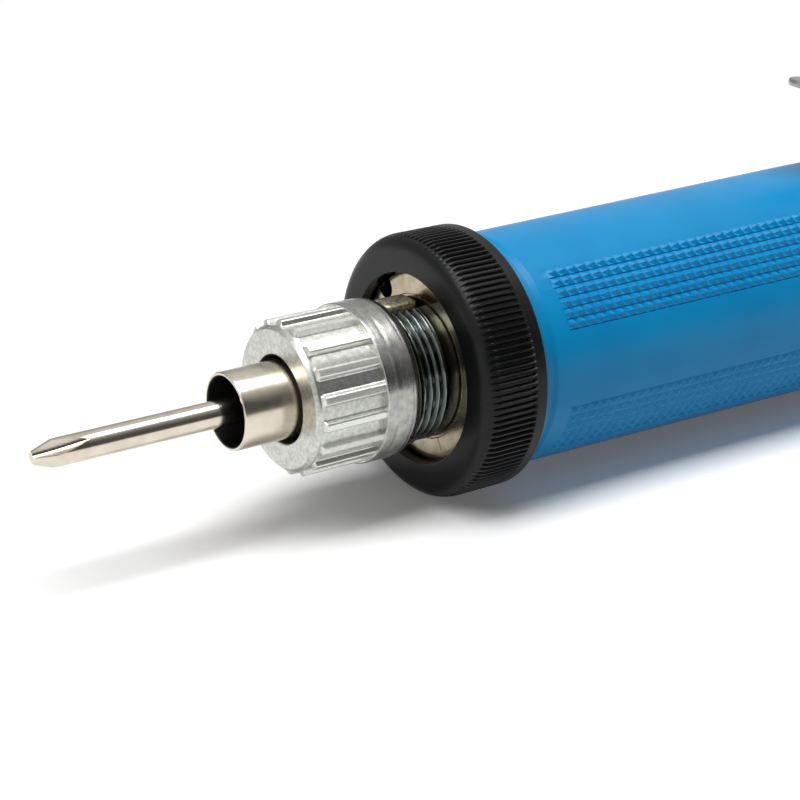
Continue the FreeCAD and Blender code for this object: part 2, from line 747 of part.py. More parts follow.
def spindle_bushes():
    """The spindle's two bronze bushes, in the barrel's mouth and in the ball cage."""
    nose_r = NUT_CORE_R - NUT_WALL - 2 * FREE
    front = turned([
        (front_bush_front, SPINDLE_R + RUN), (front_bush_rear, SPINDLE_R + RUN),
        (front_bush_rear, barrel_bore_r - SEAT), (barrel_front, barrel_bore_r - SEAT),
        (barrel_front, nose_r), (front_bush_front, nose_r),
    ])
    rear = tube(cage_front, cage_rear, bush_r, SPINDLE_R + RUN)
    return Part.makeCompound([front, rear])


# Gearbox


def planet(s0, s1, place):
    """One planet gear on its pin; its tooth gaps face the sun and the ring."""
    gear = turn(outer_gear(PLANET_TEETH, s0, s1, PIN_R + RUN), 180.0 / PLANET_TEETH)
    return turn(on_side(gear, planet_orbit), 360.0 * place / PLANET_COUNT)


def planet_pins(s0, s1):
    """The pins of one carrier."""
    return around(on_side(rod(s0, s1, PIN_R), planet_orbit), PLANET_COUNT)


def input_carrier():
    """The first stage's carrier with the second stage's sun gear."""
    sun_front = planet_2_front + PLANET_GAP
    sun = outer_gear(SUN_TEETH, sun_front, carrier_1_front, SHAFT_R + RUN)
    disc = tube(carrier_1_front, carrier_1_rear, carrier_r, SHAFT_R + RUN)
    pin_hole = on_side(rod(carrier_1_front, carrier_1_rear, PIN_R + SEAT), planet_orbit)
    return sun.fuse(disc.cut(around(pin_hole, PLANET_COUNT))).removeSplitter()


def clutch_ring_gear():
    """The output stage's ring gear, held still by the clutch balls."""
    return inner_gear(ring_2_front, ring_2_rear, case_bore_r - RUN)


def fixed_ring_gear():
    """The input stage's ring gear, with three screw holes."""
    gear = inner_gear(ring_1_front, plate_front, case_bore_r - SEAT)
    hole = on_side(rod(plate_front - 2 * PLATE_THICKNESS, plate_front, SCREW_R), plate_screw_orbit)
    return gear.cut(around(hole, PLATE_SCREW_COUNT, PLATE_SCREW_DEG))


def motor_plate():
    """The plate between the gearbox and the motor."""
    plate = tube(plate_front, case_end, case_bore_r - SEAT, MOTOR_BOSS_R + SEAT)
    ring_hole = on_side(rod(plate_front, case_end, SCREW_R), plate_screw_orbit)
    motor_hole = on_side(rod(plate_front, case_end, SCREW_R), planet_orbit)
    sink_r = SCREW_HEAD_R + SEAT
    rear_sink = on_side(rod(case_end - SCREW_HEAD, case_end, sink_r), plate_screw_orbit)
    front_sink = on_side(rod(plate_front, plate_front + SCREW_HEAD, sink_r), planet_orbit)
    ring_holes = around(ring_hole.fuse(rear_sink), PLATE_SCREW_COUNT, PLATE_SCREW_DEG)
    motor_holes = around(motor_hole.fuse(front_sink), MOTOR_SCREW_COUNT)
    return plate.cut([ring_holes, motor_holes])


def drive_screws():
    """Three screws from the motor plate into the fixed ring gear, and two into the motor can."""
    rear_seat = case_end - SCREW_HEAD
    ring_screw = screw(rear_seat, 1, rear_seat - plate_front + 2 * PLATE_THICKNESS - FREE)
    ring_screw = on_side(ring_screw, plate_screw_orbit).common(rod(0, case_end, case_bore_r - SEAT))
    ring_screws = around(ring_screw, PLATE_SCREW_COUNT, PLATE_SCREW_DEG)
    front_seat = plate_front + SCREW_HEAD
    motor_screw = on_side(screw(front_seat, -1, case_end + CAN_WALL - front_seat), planet_orbit)
    return Part.makeCompound([ring_screws, around(motor_screw, MOTOR_SCREW_COUNT)])


# Motor


def motor_can():
    """The drawn steel can with its front boss."""
    body = turned([
        (plate_front, MOTOR_BUSH_R + SEAT), (case_end + CAN_WALL, MOTOR_BUSH_R + SEAT),
        (case_end + CAN_WALL, can_bore_r), (can_end, can_bore_r), (can_end, can_r),
        (case_end, can_r), (case_end, MOTOR_BOSS_R), (plate_front, MOTOR_BOSS_R),
    ])
    hole = on_side(rod(case_end, case_end + CAN_WALL, SCREW_R), planet_orbit)
    return body.cut(around(hole, MOTOR_SCREW_COUNT))


def magnets():
    """Two curved ferrite magnets in the can."""
    shell = tube(core_front, core_end, can_bore_r - SEAT, can_bore_r - SEAT - MAGNET)
    wedge = Part.makeCylinder(can_r, CORE_LENGTH, Vector(core_front, 0, 0), ALONG, MAGNET_DEG)
    magnet = turn(shell.common(wedge), TOP_DEG + MAGNET_DEG / 2)
    return around(magnet, POLE_COUNT)


def motor_shaft():
    """The rotor's shaft."""
    return rod(planet_1_front, motor_end - FREE, SHAFT_R)


def motor_pinion():
    """The first stage's sun gear on the motor shaft."""
    return outer_gear(SUN_TEETH, planet_1_front, planet_1_rear, SHAFT_R + SEAT)


def armature_core():
    """The slotted stack of laminations."""
    stack = tube(core_front, core_end, core_r, SHAFT_R + SEAT)
    half = CORE_SLOT_WIDTH / 2
    slot = block(core_front, core_end, -2 * core_r, -COMMUTATOR_R, -half, half)
    return stack.cut(around(slot, CORE_SLOTS))


def windings():
    """The copper end turns on both sides of the core, joined by the wires in its slots."""
    crown = [
        (0, COMMUTATOR_R), (0, core_r - WINDING / 2), (WINDING / 2, core_r - WINDING / 2),
        (WINDING, core_r - WINDING), (WINDING, COMMUTATOR_R),
    ]
    front = turned([(core_front - SEAT - s, r) for s, r in crown])
    rear = turned([(core_end + SEAT + s, r) for s, r in crown])
    half = CORE_SLOT_WIDTH / 2 - SEAT
    low = COMMUTATOR_R + FREE
    wires = block(core_front - FREE, core_end + FREE, -core_r + WINDING, -low, -half, half)
    return front.fuse([rear, around(wires, CORE_SLOTS)]).removeSplitter()


def commutator():
    """The segmented copper commutator."""
    barrel = tube(commutator_front, commutator_end, COMMUTATOR_R, SHAFT_R + SEAT)
    deep = COMMUTATOR_R - FREE
    slit = block(commutator_front, commutator_end, -2 * COMMUTATOR_R, -deep, -RUN, RUN)
    return barrel.cut(around(slit, CORE_SLOTS))


def motor_bushes():
    """The sintered bushes at both ends of the motor."""
    front = tube(plate_front, case_end + CAN_WALL, MOTOR_BUSH_R, SHAFT_R + RUN)
    rear = tube(can_end + FREE, motor_end, MOTOR_BUSH_R, SHAFT_R + RUN)
    return Part.makeCompound([front, rear])


def end_bell():
    """The moulded motor end with its two brush holders."""
    bell = turned([
        (can_end, MOTOR_BUSH_R + SEAT), (motor_end, MOTOR_BUSH_R + SEAT),
        (motor_end, can_r - END_BELL / 2), (can_end + END_BELL / 2, can_r), (can_end, can_r),
    ])
    brush_mid = (commutator_front + commutator_end) / 2
    outside = can_bore_r - FREE
    half_w = BRUSH_WIDTH / 2 + HOLDER_WALL
    half_h = BRUSH_HEIGHT / 2 + HOLDER_WALL
    holder = block(brush_mid - half_w, can_end, -outside, -COMMUTATOR_R - FREE, -half_h, half_h)
    holder = holder.common(rod(brush_mid - half_w, can_end, outside))
    gap_w = BRUSH_WIDTH / 2 + SEAT
    gap_h = BRUSH_HEIGHT / 2 + SEAT
    channel = block(brush_mid - gap_w, brush_mid + gap_w, -can_r, 0, -gap_h, gap_h)
    bell = bell.fuse(around(holder, BRUSH_COUNT))
    return bell.cut(around(channel, BRUSH_COUNT)).removeSplitter()


def brushes():
    """The two carbon brushes on the commutator."""
    brush_mid = (commutator_front + commutator_end) / 2
    half_w = BRUSH_WIDTH / 2
    half_h = BRUSH_HEIGHT / 2
    inside = COMMUTATOR_R + RUN
    outer = inside + BRUSH_LENGTH
    brush = block(brush_mid - half_w, brush_mid + half_w, -outer, 0, -half_h, half_h)
    brush = brush.cut(rod(commutator_front - FREE, commutator_end + FREE, inside))
    return around(brush, BRUSH_COUNT)


def terminals():
    """The two terminal tags on the motor end."""
    outer = planet_orbit + SCREW_R
    half = BRUSH_WIDTH / 2
    tag = block(motor_end, motor_end + TERMINAL_HEIGHT, -outer, -planet_orbit, -half, half)
    return around(tag, BRUSH_COUNT)


# Handle and ring


def skin_radius(s):
    """Radius of the handle's outside at a station behind the neck."""
    share = min(1.0, (s - neck_end) / GRIP_TAPER)
    return front_r + (grip_r - front_r) * share


def panel_recess(low, high):
    """The shallow bed of one grip panel, between two angles on the near side."""
    start = neck_end + PANEL_SET
    end = start + PANEL_LENGTH
    knee = neck_end + GRIP_TAPER
    stations = [start, knee, end] if start < knee < end else [start, end]
    floor = [Vector(s, 0, skin_radius(s) - PANEL_DEPTH) for s in stations]
    lid = [Vector(end, 0, RING_R), Vector(start, 0, RING_R)]
    face = Part.Face(Part.makePolygon(floor + lid + floor[:1]))
    face.rotate(CENTRE, ALONG, 90 - low)
    return face.revolve(CENTRE, ALONG, low - high)


def handle():
    """The one-piece moulded handle tube."""
    body = turned([
        (handle_front, bore_r), (handle_front, spigot_r), (neck_front, spigot_r), (neck_front, neck_r),
        (neck_end, neck_r), (neck_end, front_r), (neck_end + GRIP_TAPER, grip_r),
        (handle_end, grip_r), (handle_end, bore_r),
    ])
    cuts = []
    for low, high in PANEL_DEGS:
        near = panel_recess(low, high)
        cuts.append(near)
        cuts.append(near.mirror(CENTRE, ACROSS))
    half = PLUNGER_STEM / 2 + FREE
    cuts.append(block(plunger_at - half, plunger_at + half, -half, half, 0, RING_R))
    length = ROCKER_LENGTH / 2 + ROCKER_WALL + SEAT
    height = ROCKER_HEIGHT / 2 + ROCKER_WALL + SEAT
    cuts.append(block(rocker_at - length, rocker_at + length, -RING_R, 0, -height, height))
    cuts.append(cap_screw_holes())
    for x in bracket_screw_places():
        cuts.append(upright(x, 0, 0, RING_R, SCREW_R))
    return body.cut(cuts)


def coupling_ring():
    """The black knurled ring that screws the nose to the handle."""
    knurl_front = RING_CORNER
    knurl_rear = RING_LENGTH - RING_BAND
    root = RING_R - KNURL_DEPTH
    base = turned([
        (0, RING_OPENING_R), (RING_LIP, RING_OPENING_R), (RING_LIP, ring_bore_r),
        (RING_LENGTH, ring_bore_r), (RING_LENGTH, RING_R), (knurl_rear, RING_R), (knurl_rear, root),
        (knurl_front, root), (0, RING_R - RING_CORNER),
    ])
    ribs = []
    for i in range(2 * KNURL_COUNT):
        angle = math.pi * i / KNURL_COUNT
        r = RING_R if i % 2 == 0 else root
        ribs.append(Vector(knurl_front, -r * math.cos(angle), r * math.sin(angle)))
    star = Part.Wire(Part.makePolygon(ribs + ribs[:1]))
    inside = ring_bore_r + RING_WALL / 2
    hole = Part.Wire(Part.makeCircle(inside, Vector(knurl_front, 0, 0), ALONG))
    knurl = Part.Face([star, hole]).extrude(Vector(knurl_rear - knurl_front, 0, 0))
    return base.fuse(knurl).removeSplitter()


# Lever start


def bracket_screw_places():
    """Stations of the lever bracket's two screws."""
    return (pivot_at - BRACKET_SCREW_SPREAD, pivot_at + BRACKET_SCREW_SPREAD)


def lever_bracket():
    """The saddle on the handle with two ears for the lever's pin."""
    half_y = LEVER_WIDTH / 2 + FREE + BRACKET_EAR
    half_x = BRACKET_LENGTH / 2
    top = grip_r + BRACKET_BASE
    base = block(pivot_at - half_x, pivot_at + half_x, -half_y, half_y, 0, top)
    ear_r = EAR_LENGTH / 2
    ear_y = half_y - BRACKET_EAR
    ear = block(pivot_at - ear_r, pivot_at + ear_r, ear_y, half_y, 0, pivot_z)
    ear = ear.fuse(crossbar(pivot_at, pivot_z, ear_y, half_y, ear_r))
    body = base.fuse([ear, ear.mirror(CENTRE, ACROSS)])
    body = body.cut(rod(pivot_at - BRACKET_LENGTH, pivot_at + BRACKET_LENGTH, grip_r + SEAT))
    body = body.cut(crossbar(pivot_at, pivot_z, -RING_R, RING_R, LEVER_PIN_R + SEAT))
    holes = [upright(x, 0, 0, RING_R + BRACKET_BASE, SCREW_R) for x in bracket_screw_places()]
    return body.cut(holes).removeSplitter()


def bracket_screws():
    """The two screws that hold the lever bracket."""
    top = grip_r + BRACKET_BASE
    screws = []
    for x in bracket_screw_places():
        shank = upright(x, 0, bore_r + FREE, top, SCREW_R - SEAT)
        head = upright(x, 0, top, top + SCREW_HEAD, SCREW_HEAD_R)
        screws.append(shank.fuse(head).removeSplitter())
    return Part.makeCompound(screws)


def lever_pin():
    """The lever's pin in the bracket's ears."""
    half = LEVER_WIDTH / 2 + FREE + BRACKET_EAR
    return crossbar(pivot_at, pivot_z, -half, half, LEVER_PIN_R)


def start_lever():
    """The steel start lever: a knuckle on the pin and a long strip with a round tip."""
    half = LEVER_WIDTH / 2
    low = LEVER_OFFSET - LEVER_THICKNESS / 2
    high = LEVER_OFFSET + LEVER_THICKNESS / 2
    reach = LEVER_REACH / math.cos(lever_slope)
    strip = block(-reach + half, 0, -half, half, low, high)
    tip = upright(-reach + half, 0, low, high, half)
    knuckle = crossbar(0, 0, -half, half, KNUCKLE_R)
    hole = crossbar(0, 0, -half, half, LEVER_PIN_R + RUN)
    lever = knuckle.fuse([strip, tip]).cut(hole).removeSplitter()
    lever.rotate(CENTRE, ACROSS, math.degrees(lever_slope))
    lever.translate(Vector(pivot_at, 0, pivot_z))
    return lever


def start_plunger():
    """The plunger under the lever that works the start switch."""
    stem = PLUNGER_STEM / 2
    flange = PLUNGER_FLANGE / 2
    front = plunger_at - stem
    rear = plunger_at + stem
    post = block(front, rear, -stem, stem, flange_low_z, plunger_top_z - stem / 2)
    crown = crossbar(plunger_at, plunger_top_z - stem, -stem, stem, stem)
    front = plunger_at - flange
    rear = plunger_at + flange
    stop = block(front, rear, -flange, flange, flange_low_z, flange_top_z)
    foot = upright(plunger_at, 0, foot_z, flange_low_z, PLUNGER_FOOT_R)
    return post.fuse([crown, stop, foot]).removeSplitter()


def plunger_spring():
    """The spring that lifts the plunger."""
    room = flange_low_z - switch_top_z - 2 * SEAT
    mean_r = PLUNGER_FOOT_R + RUN + BUTTON_SPRING_WIRE
    spring = coil(mean_r, BUTTON_SPRING_WIRE, BUTTON_SPRING_TURNS, room)
    spring.rotate(CENTRE, ACROSS, -90)
    spring.translate(Vector(plunger_at, 0, switch_top_z + SEAT))
    return spring


def start_switch():
    """The micro switch under the plunger."""
    half = SWITCH_LENGTH / 2
    wide = SWITCH_WIDTH / 2
    low = switch_top_z - SWITCH_HEIGHT
    body = block(plunger_at - half, plunger_at + half, -wide, wide, low, switch_top_z)
    key = upright(plunger_at, 0, switch_top_z, key_top_z, SWITCH_KEY_R)
    return body.fuse(key).removeSplitter()


# Direction rocker


def rocker():
    """The direction rocker on its upright pin, dished so that a pressed end lies flush."""
    half = ROCKER_LENGTH / 2 - FREE
    tall = ROCKER_HEIGHT / 2 - FREE
    out = grip_r + ROCKER_PROUD
    pad = block(rocker_at - half, rocker_at + half, -out, -out + ROCKER_DEPTH, -tall, tall)
    pad = pad.common(upright(rocker_at, rocker_pin_y, -tall, tall, half))
    tilt = math.radians(ROCKER_TILT_DEG)
    dish_r = half / math.sin(tilt)
    dish = upright(rocker_at, -out - dish_r * math.cos(tilt), -tall, tall, dish_r)
    pin_end = ROCKER_HEIGHT / 2 + ROCKER_WALL / 2
    pin = upright(rocker_at, rocker_pin_y, -pin_end, pin_end, ROCKER_PIN_R)
    return pad.cut(dish).fuse(pin).removeSplitter()


def rocker_housing():
    """The rocker switch's body with its bezel on the handle."""
    length = ROCKER_LENGTH / 2
    height = ROCKER_HEIGHT / 2
    outer_l = length + ROCKER_WALL
    outer_h = height + ROCKER_WALL
    inner = -grip_r + ROCKER_BODY_DEPTH
    floor = -grip_r + ROCKER_DEPTH + ROCKER_WALL
    body = block(rocker_at - outer_l, rocker_at + outer_l, -grip_r, inner, -outer_h, outer_h)
    lip_l = outer_l + BEZEL_LIP
    lip_h = outer_h + BEZEL_LIP
    bezel = block(rocker_at - lip_l, rocker_at + lip_l, -grip_r - BEZEL, 0, -lip_h, lip_h)
    bezel = bezel.cut(rod(rocker_at - 2 * lip_l, rocker_at + 2 * lip_l, grip_r + SEAT))
    well = block(rocker_at - length, rocker_at + length, -RING_R, floor, -height, height)
    pin_end = height + ROCKER_WALL / 2 + FREE
    pin_hole = upright(rocker_at, rocker_pin_y, -pin_end, pin_end, ROCKER_PIN_R + RUN)
    return body.fuse(bezel).cut([well, pin_hole]).removeSplitter()


# Chassis and board


def chassis():
    """The moulded frame behind the motor: two discs, a plate, board bosses and the switch's post."""
    r = bore_r - CHASSIS_GAP
    wire_way = rod(chassis_front, chassis_end, r / 3)
    front = rod(chassis_front, chassis_front + CHASSIS_DISC, r)
    rear = rod(chassis_end - CHASSIS_DISC, chassis_end, r)
    wide = math.sqrt(r ** 2 - (CHASSIS_DROP + CHASSIS_PLATE) ** 2)
    plate = block(chassis_front, chassis_end, -wide, wide, plate_top - CHASSIS_PLATE, plate_top)
    half = SWITCH_LENGTH / 2
    wide = SWITCH_WIDTH / 2
    post_top = switch_top_z - SWITCH_HEIGHT
    post = block(plunger_at - half, plunger_at + half, -wide, wide, plate_top, post_top)
    low = plate_top - CHASSIS_PLATE
    bosses = [upright(x, y, plate_top, board_bottom, BOARD_BOSS_R) for x, y in board_corners()]
    holes = [upright(x, y, low, board_bottom, SCREW_R) for x, y in board_corners()]
    body = front.fuse([rear, plate, post] + bosses).removeSplitter()
    top_half = block(chassis_front, chassis_end, -r, r, 0, r)
    return body.cut(holes + [wire_way.common(top_half)])


def board_corners():
    """Places of the board's four screws."""
    inset = 2 * BOARD_BOSS_R
    xs = (board_front + inset, board_end - inset)
    ys = (-BOARD_WIDTH / 2 + inset, BOARD_WIDTH / 2 - inset)
    return [(x, y) for x in xs for y in ys]


def circuit_board():
    """The control board on the chassis."""
    half = BOARD_WIDTH / 2
    board = block(board_front, board_end, -half, half, board_bottom, board_top)
    return board.cut([upright(x, y, board_bottom, board_top, SCREW_R) for x, y in board_corners()])


def board_screws():
    """The board's four screws."""
    screws = []
    for x, y in board_corners():
        shank = upright(x, y, plate_top - CHASSIS_PLATE + FREE, board_top, SCREW_R - SEAT)
        head = upright(x, y, board_top, board_top + SCREW_HEAD, SCREW_HEAD_R)
        screws.append(shank.fuse(head).removeSplitter())
    return Part.makeCompound(screws)


def board_components():
    """The brake relay and two filter capacitors, soldered to the board."""
    middle = (board_front + board_end) / 2
    half_x = RELAY_LENGTH / 2
    half_y = RELAY_WIDTH / 2
    relay_top = board_top + RELAY_HEIGHT
    relay = block(middle - half_x, middle + half_x, -half_y, half_y, board_top, relay_top)
    gap = half_x + CAPACITOR_R + FREE
    can_top = board_top + CAPACITOR_HEIGHT
    cans = [upright(middle + way * gap, 0, board_top, can_top, CAPACITOR_R) for way in (-1, 1)]
    return Part.makeCompound([relay] + cans)


# Tail


def rear_cap():
    """The octagonal rear cap, flat enough to keep the tool from rolling."""
    body = prism(cap_flat, CAP_SIDES, handle_end, cap_end)
    body = body.makeFillet(CAP_CORNER, [e for e in body.Edges if e.BoundBox.XLength > CAP_LENGTH / 2])
    ends = [e for e in body.Edges if e.BoundBox.XMin > cap_end - SEAT]
    body = body.makeChamfer(CAP_CHAMFER, ends)
    spigot_outer = bore_r - SEAT
    inside = spigot_outer - CAP_SPIGOT_WALL
    body = body.fuse(rod(cap_spigot_front, handle_end, spigot_outer))
    body = body.cut(rod(cap_spigot_front, cap_end - CAP_WALL, inside))
    body = body.cut(rod(cap_end - CAP_WALL, cap_end, INLET_R + SEAT))
    hook_hole = radial(bail_at, cap_flat - BAIL_HOOK - FREE, cap_flat, BAIL_WIRE_R + RUN)
    body = body.cut([hook_hole, hook_hole.mirror(CENTRE, ACROSS), cap_screw_holes()])
    return body.removeSplitter()


def cap_screw_holes():
    """The holes for the rear cap's screws, through the handle and the cap."""
    hole = radial(handle_end - CAP_SCREW_SET, 0, RING_R, SCREW_R)
    return around(hole, CAP_SCREW_COUNT, CAP_SCREW_DEG)


def cap_screws():
    """The radial screws that hold the rear cap in the handle."""
    at = handle_end - CAP_SCREW_SET
    inside = bore_r - SEAT - CAP_SPIGOT_WALL
    shank = radial(at, inside, grip_r + SCREW_HEAD / 2, SCREW_R - SEAT)
    head = radial(at, grip_r, grip_r + SCREW_HEAD, SCREW_HEAD_R)
    head = head.cut(rod(at - SCREW_HEAD_R, at + SCREW_HEAD_R, grip_r + SEAT))
    return around(shank.fuse(head).removeSplitter(), CAP_SCREW_COUNT, CAP_SCREW_DEG)


def inlet_shell():
    """The metal shell of the lead's inlet."""
    front = cap_end - CAP_WALL - INLET_FLANGE
    return turned([
        (front, INLET_R - INLET_WALL), (inlet_end, INLET_R - INLET_WALL), (inlet_end, INLET_R),
        (cap_end + INLET_FLANGE, INLET_R), (cap_end + INLET_FLANGE, INLET_FLANGE_R),
        (cap_end, INLET_FLANGE_R), (cap_end, INLET_R), (front, INLET_R),
    ])


def inlet_nut():
    """The nut that holds the inlet in the rear wall."""
    rear = cap_end - CAP_WALL
    front = rear - INLET_FLANGE
    nut = prism(INLET_FLANGE_R, INLET_NUT_SIDES, front, rear)
    return nut.cut(rod(front, rear, INLET_R + SEAT))


def inlet_insert():
    """The insulating insert that carries the inlet's pins."""
    rear = cap_end + INLET_FLOOR
    front = cap_end - CAP_WALL - INLET_FLANGE
    body = rod(front, rear, INLET_R - INLET_WALL - SEAT)
    hole = on_side(rod(front, rear, INLET_PIN_R + SEAT), INLET_PIN_RADIUS)
    return body.cut(around(hole, INLET_PIN_COUNT, TOP_DEG))


def inlet_pins():
    """The inlet's contact pins."""
    front = cap_end - CAP_WALL - 2 * INLET_FLANGE
    pin = on_side(rod(front, inlet_end - 2 * INLET_FLOOR, INLET_PIN_R), INLET_PIN_RADIUS)
    return around(pin, INLET_PIN_COUNT, TOP_DEG)


def rounded_path(points, radii):
    """A wire through points, with an arc of the given radius at each inner one."""
    edges = []
    start = points[0]
    for before, corner, after, radius in zip(points, points[1:], points[2:], radii):
        to_back = (before - corner).normalize()
        to_next = (after - corner).normalize()
        half = to_back.getAngle(to_next) / 2
        cut = radius / math.tan(half)
        first = corner + to_back * cut
        last = corner + to_next * cut
        middle = corner + (to_back + to_next).normalize() * (radius / math.sin(half) - radius)
        edges.append(Part.LineSegment(start, first).toShape())
        edges.append(Part.Arc(first, middle, last).toShape())
        start = last
    edges.append(Part.LineSegment(start, points[-1]).toShape())
    return Part.Wire(edges)


def bail():
    """The hanging bail: a bent wire hooked into the cap's two sides, fallen to the bench."""
    inside = cap_flat - BAIL_HOOK
    side = [(0, inside), (0, bail_leg_y), (BAIL_REACH, bail_leg_y)]
    points = [Vector(x, -y, 0) for x, y in side] + [Vector(x, y, 0) for x, y in reversed(side)]
    path = rounded_path(points, (BAIL_HOOK_BEND, BAIL_CORNER, BAIL_CORNER, BAIL_HOOK_BEND))
    section = Part.Wire(Part.makeCircle(BAIL_WIRE_R, points[0], ACROSS))
    wire = path.makePipeShell([section], True, False)
    wire.rotate(CENTRE, ACROSS, math.degrees(bail_droop))
    wire.translate(Vector(bail_at, 0, 0))
    return wire


def pieces():
    """Every node's name and shape."""
    pin_2_end = planet_2_rear + PLANET_GAP
    pin_1_end = planet_1_rear + PLANET_GAP
    found = {
        "bit": bit(), "spindle": spindle(), "lock_balls": lock_balls(), "snap_ring": snap_ring(),
        "chuck_sleeve": chuck_sleeve(), "sleeve_spring": sleeve_spring(), "torque_nut": torque_nut(),
        "thrust_washer": thrust_washer(), "torque_spring": torque_spring(), "nose_housing": nose_housing(),
        "clutch_plate": clutch_plate(), "clutch_balls": clutch_balls(), "ball_cage": ball_cage(),
        "spindle_bushes": spindle_bushes(), "clutch_ring_gear": clutch_ring_gear(),
        "output_pins": planet_pins(carrier_2_front, pin_2_end), "input_carrier": input_carrier(),
        "input_pins": planet_pins(carrier_1_front, pin_1_end), "fixed_ring_gear": fixed_ring_gear(),
        "motor_plate": motor_plate(), "drive_screws": drive_screws(),
        "motor_can": motor_can(), "magnets": magnets(), "motor_shaft": motor_shaft(),
        "motor_pinion": motor_pinion(), "armature_core": armature_core(), "windings": windings(),
        "commutator": commutator(), "motor_bushes": motor_bushes(), "end_bell": end_bell(),
        "brushes": brushes(), "terminals": terminals(), "handle": handle(), "coupling_ring": coupling_ring(),
        "lever_bracket": lever_bracket(), "bracket_screws": bracket_screws(), "lever_pin": lever_pin(),
        "start_lever": start_lever(), "start_plunger": start_plunger(), "plunger_spring": plunger_spring(),
        "start_switch": start_switch(), "rocker": rocker(), "rocker_housing": rocker_housing(),
        "chassis": chassis(), "circuit_board": circuit_board(), "board_screws": board_screws(),
        "board_components": board_components(), "rear_cap": rear_cap(),
        "cap_screws": cap_screws(), "inlet_shell": inlet_shell(), "inlet_nut": inlet_nut(),
        "inlet_insert": inlet_insert(), "inlet_pins": inlet_pins(), "bail": bail(),
    }
    for place in range(PLANET_COUNT):
        found["output_planet_%d" % (place + 1)] = planet(planet_2_front, planet_2_rear, place)
        found["input_planet_%d" % (place + 1)] = planet(planet_1_front, planet_1_rear, place)
    return found


def main():
    """Moves every piece to the bench and writes it."""
    os.makedirs("parts", exist_ok=True)
    for name, shape in sorted(pieces().items()):
        placed = shape.copy()
        placed.translate(MOVE)
        placed.exportStep("parts/%s.step" % name)


if __name__ == "__main__":
    main()
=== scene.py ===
"""Looks of a lever-start electric screwdriver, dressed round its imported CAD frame.

Every new piece is a surface worked out with numpy on a grid of two parameters, in millimetres along and
round the tool's axis, and is then put into the frame's metres. The hidden pieces keep their CAD shape and
get the finish that their material slot names.
"""
import sys
import json
import logging
import math
from dataclasses import dataclass
from enum import Enum

import bpy
import numpy as np
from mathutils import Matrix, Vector


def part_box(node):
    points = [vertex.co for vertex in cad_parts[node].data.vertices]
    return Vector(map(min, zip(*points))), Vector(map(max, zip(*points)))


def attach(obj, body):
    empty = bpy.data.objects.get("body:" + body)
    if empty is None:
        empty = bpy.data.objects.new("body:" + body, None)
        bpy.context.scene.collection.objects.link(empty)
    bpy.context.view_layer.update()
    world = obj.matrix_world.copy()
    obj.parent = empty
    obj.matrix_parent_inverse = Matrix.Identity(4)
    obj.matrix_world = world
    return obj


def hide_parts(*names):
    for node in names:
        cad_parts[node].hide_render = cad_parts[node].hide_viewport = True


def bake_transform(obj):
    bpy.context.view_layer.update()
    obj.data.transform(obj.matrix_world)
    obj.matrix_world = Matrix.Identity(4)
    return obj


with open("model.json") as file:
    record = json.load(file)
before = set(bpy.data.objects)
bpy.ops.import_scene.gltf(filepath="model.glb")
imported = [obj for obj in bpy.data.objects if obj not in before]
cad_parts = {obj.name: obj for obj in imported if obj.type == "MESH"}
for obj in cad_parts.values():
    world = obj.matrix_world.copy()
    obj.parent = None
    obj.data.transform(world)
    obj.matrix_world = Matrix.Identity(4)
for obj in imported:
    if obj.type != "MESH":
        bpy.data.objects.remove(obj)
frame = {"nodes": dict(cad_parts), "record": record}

LOG = logging.getLogger("screwdriver")
MM = 0.001
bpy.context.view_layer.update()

HAIR = 0.02  # a hair's breadth in mm
NEAR = 1e-6  # numbers closer than this count as equal
TINY = 1e-9  # least length to divide by
ANGLE_PLACES = 4  # decimals of a column's angle
CELL_PLACES = 5  # decimals of a place in a run of cells


# Surfaces

@dataclass(frozen=True)
class Axis:
    """The tool's axis: stations in mm behind the ring's front face, angles up from the near side."""

    front: float
    height: float

    @classmethod
    def of_frame(cls) -> "Axis":
        """The axis through the middle of the coupling ring, from its front face."""
        low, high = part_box("coupling_ring")
        return cls(low.x / MM, (low.z + high.z) / 2 / MM)

    def place(self, s: np.ndarray, r: np.ndarray, deg: np.ndarray) -> np.ndarray:
        """Points in metres at station s, radius r and angle deg, with angle 0 facing -Y.

        Args:
            s: Stations in mm.
            r: Radii in mm.
            deg: Angles in degrees.

        Returns:
            An array with the three coordinates last.
        """
        turn = np.radians(deg)
        across = -r * np.cos(turn)
        up = self.height + r * np.sin(turn)
        return MM * np.stack(np.broadcast_arrays(self.front + s, across, up), axis=-1)

    def at(self, s: np.ndarray, y: np.ndarray, z: np.ndarray) -> np.ndarray:
        """Points in metres at station s, y across the tool and z above its axis."""
        return MM * np.stack(np.broadcast_arrays(self.front + s, y, self.height + z), axis=-1)

    def turned(self, run: np.ndarray, around: int) -> np.ndarray:
        """Points in metres of a run of stations and radii, turned about the axis in equal steps."""
        return self.place(run[:, :1], run[:, 1:], even(around))

    def span(self, node: str) -> tuple[float, float]:
        """First and last station of a CAD node."""
        low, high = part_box(node)
        return low.x / MM - self.front, high.x / MM - self.front

    def radius(self, node: str) -> float:
        """Half of a CAD node's width across the axis."""
        low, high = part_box(node)
        return (high.y - low.y) / 2 / MM

    def reach(self, node: str) -> float:
        """Height of a CAD node's top above the axis."""
        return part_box(node)[1].z / MM - self.height


@dataclass
class Patch:
    """A stretch of surface: its points, quads and triangles, a crest share per point and a slot per face."""

    points: np.ndarray
    quads: np.ndarray
    quad_slots: np.ndarray
    tris: np.ndarray
    tri_slots: np.ndarray
    crest: np.ndarray


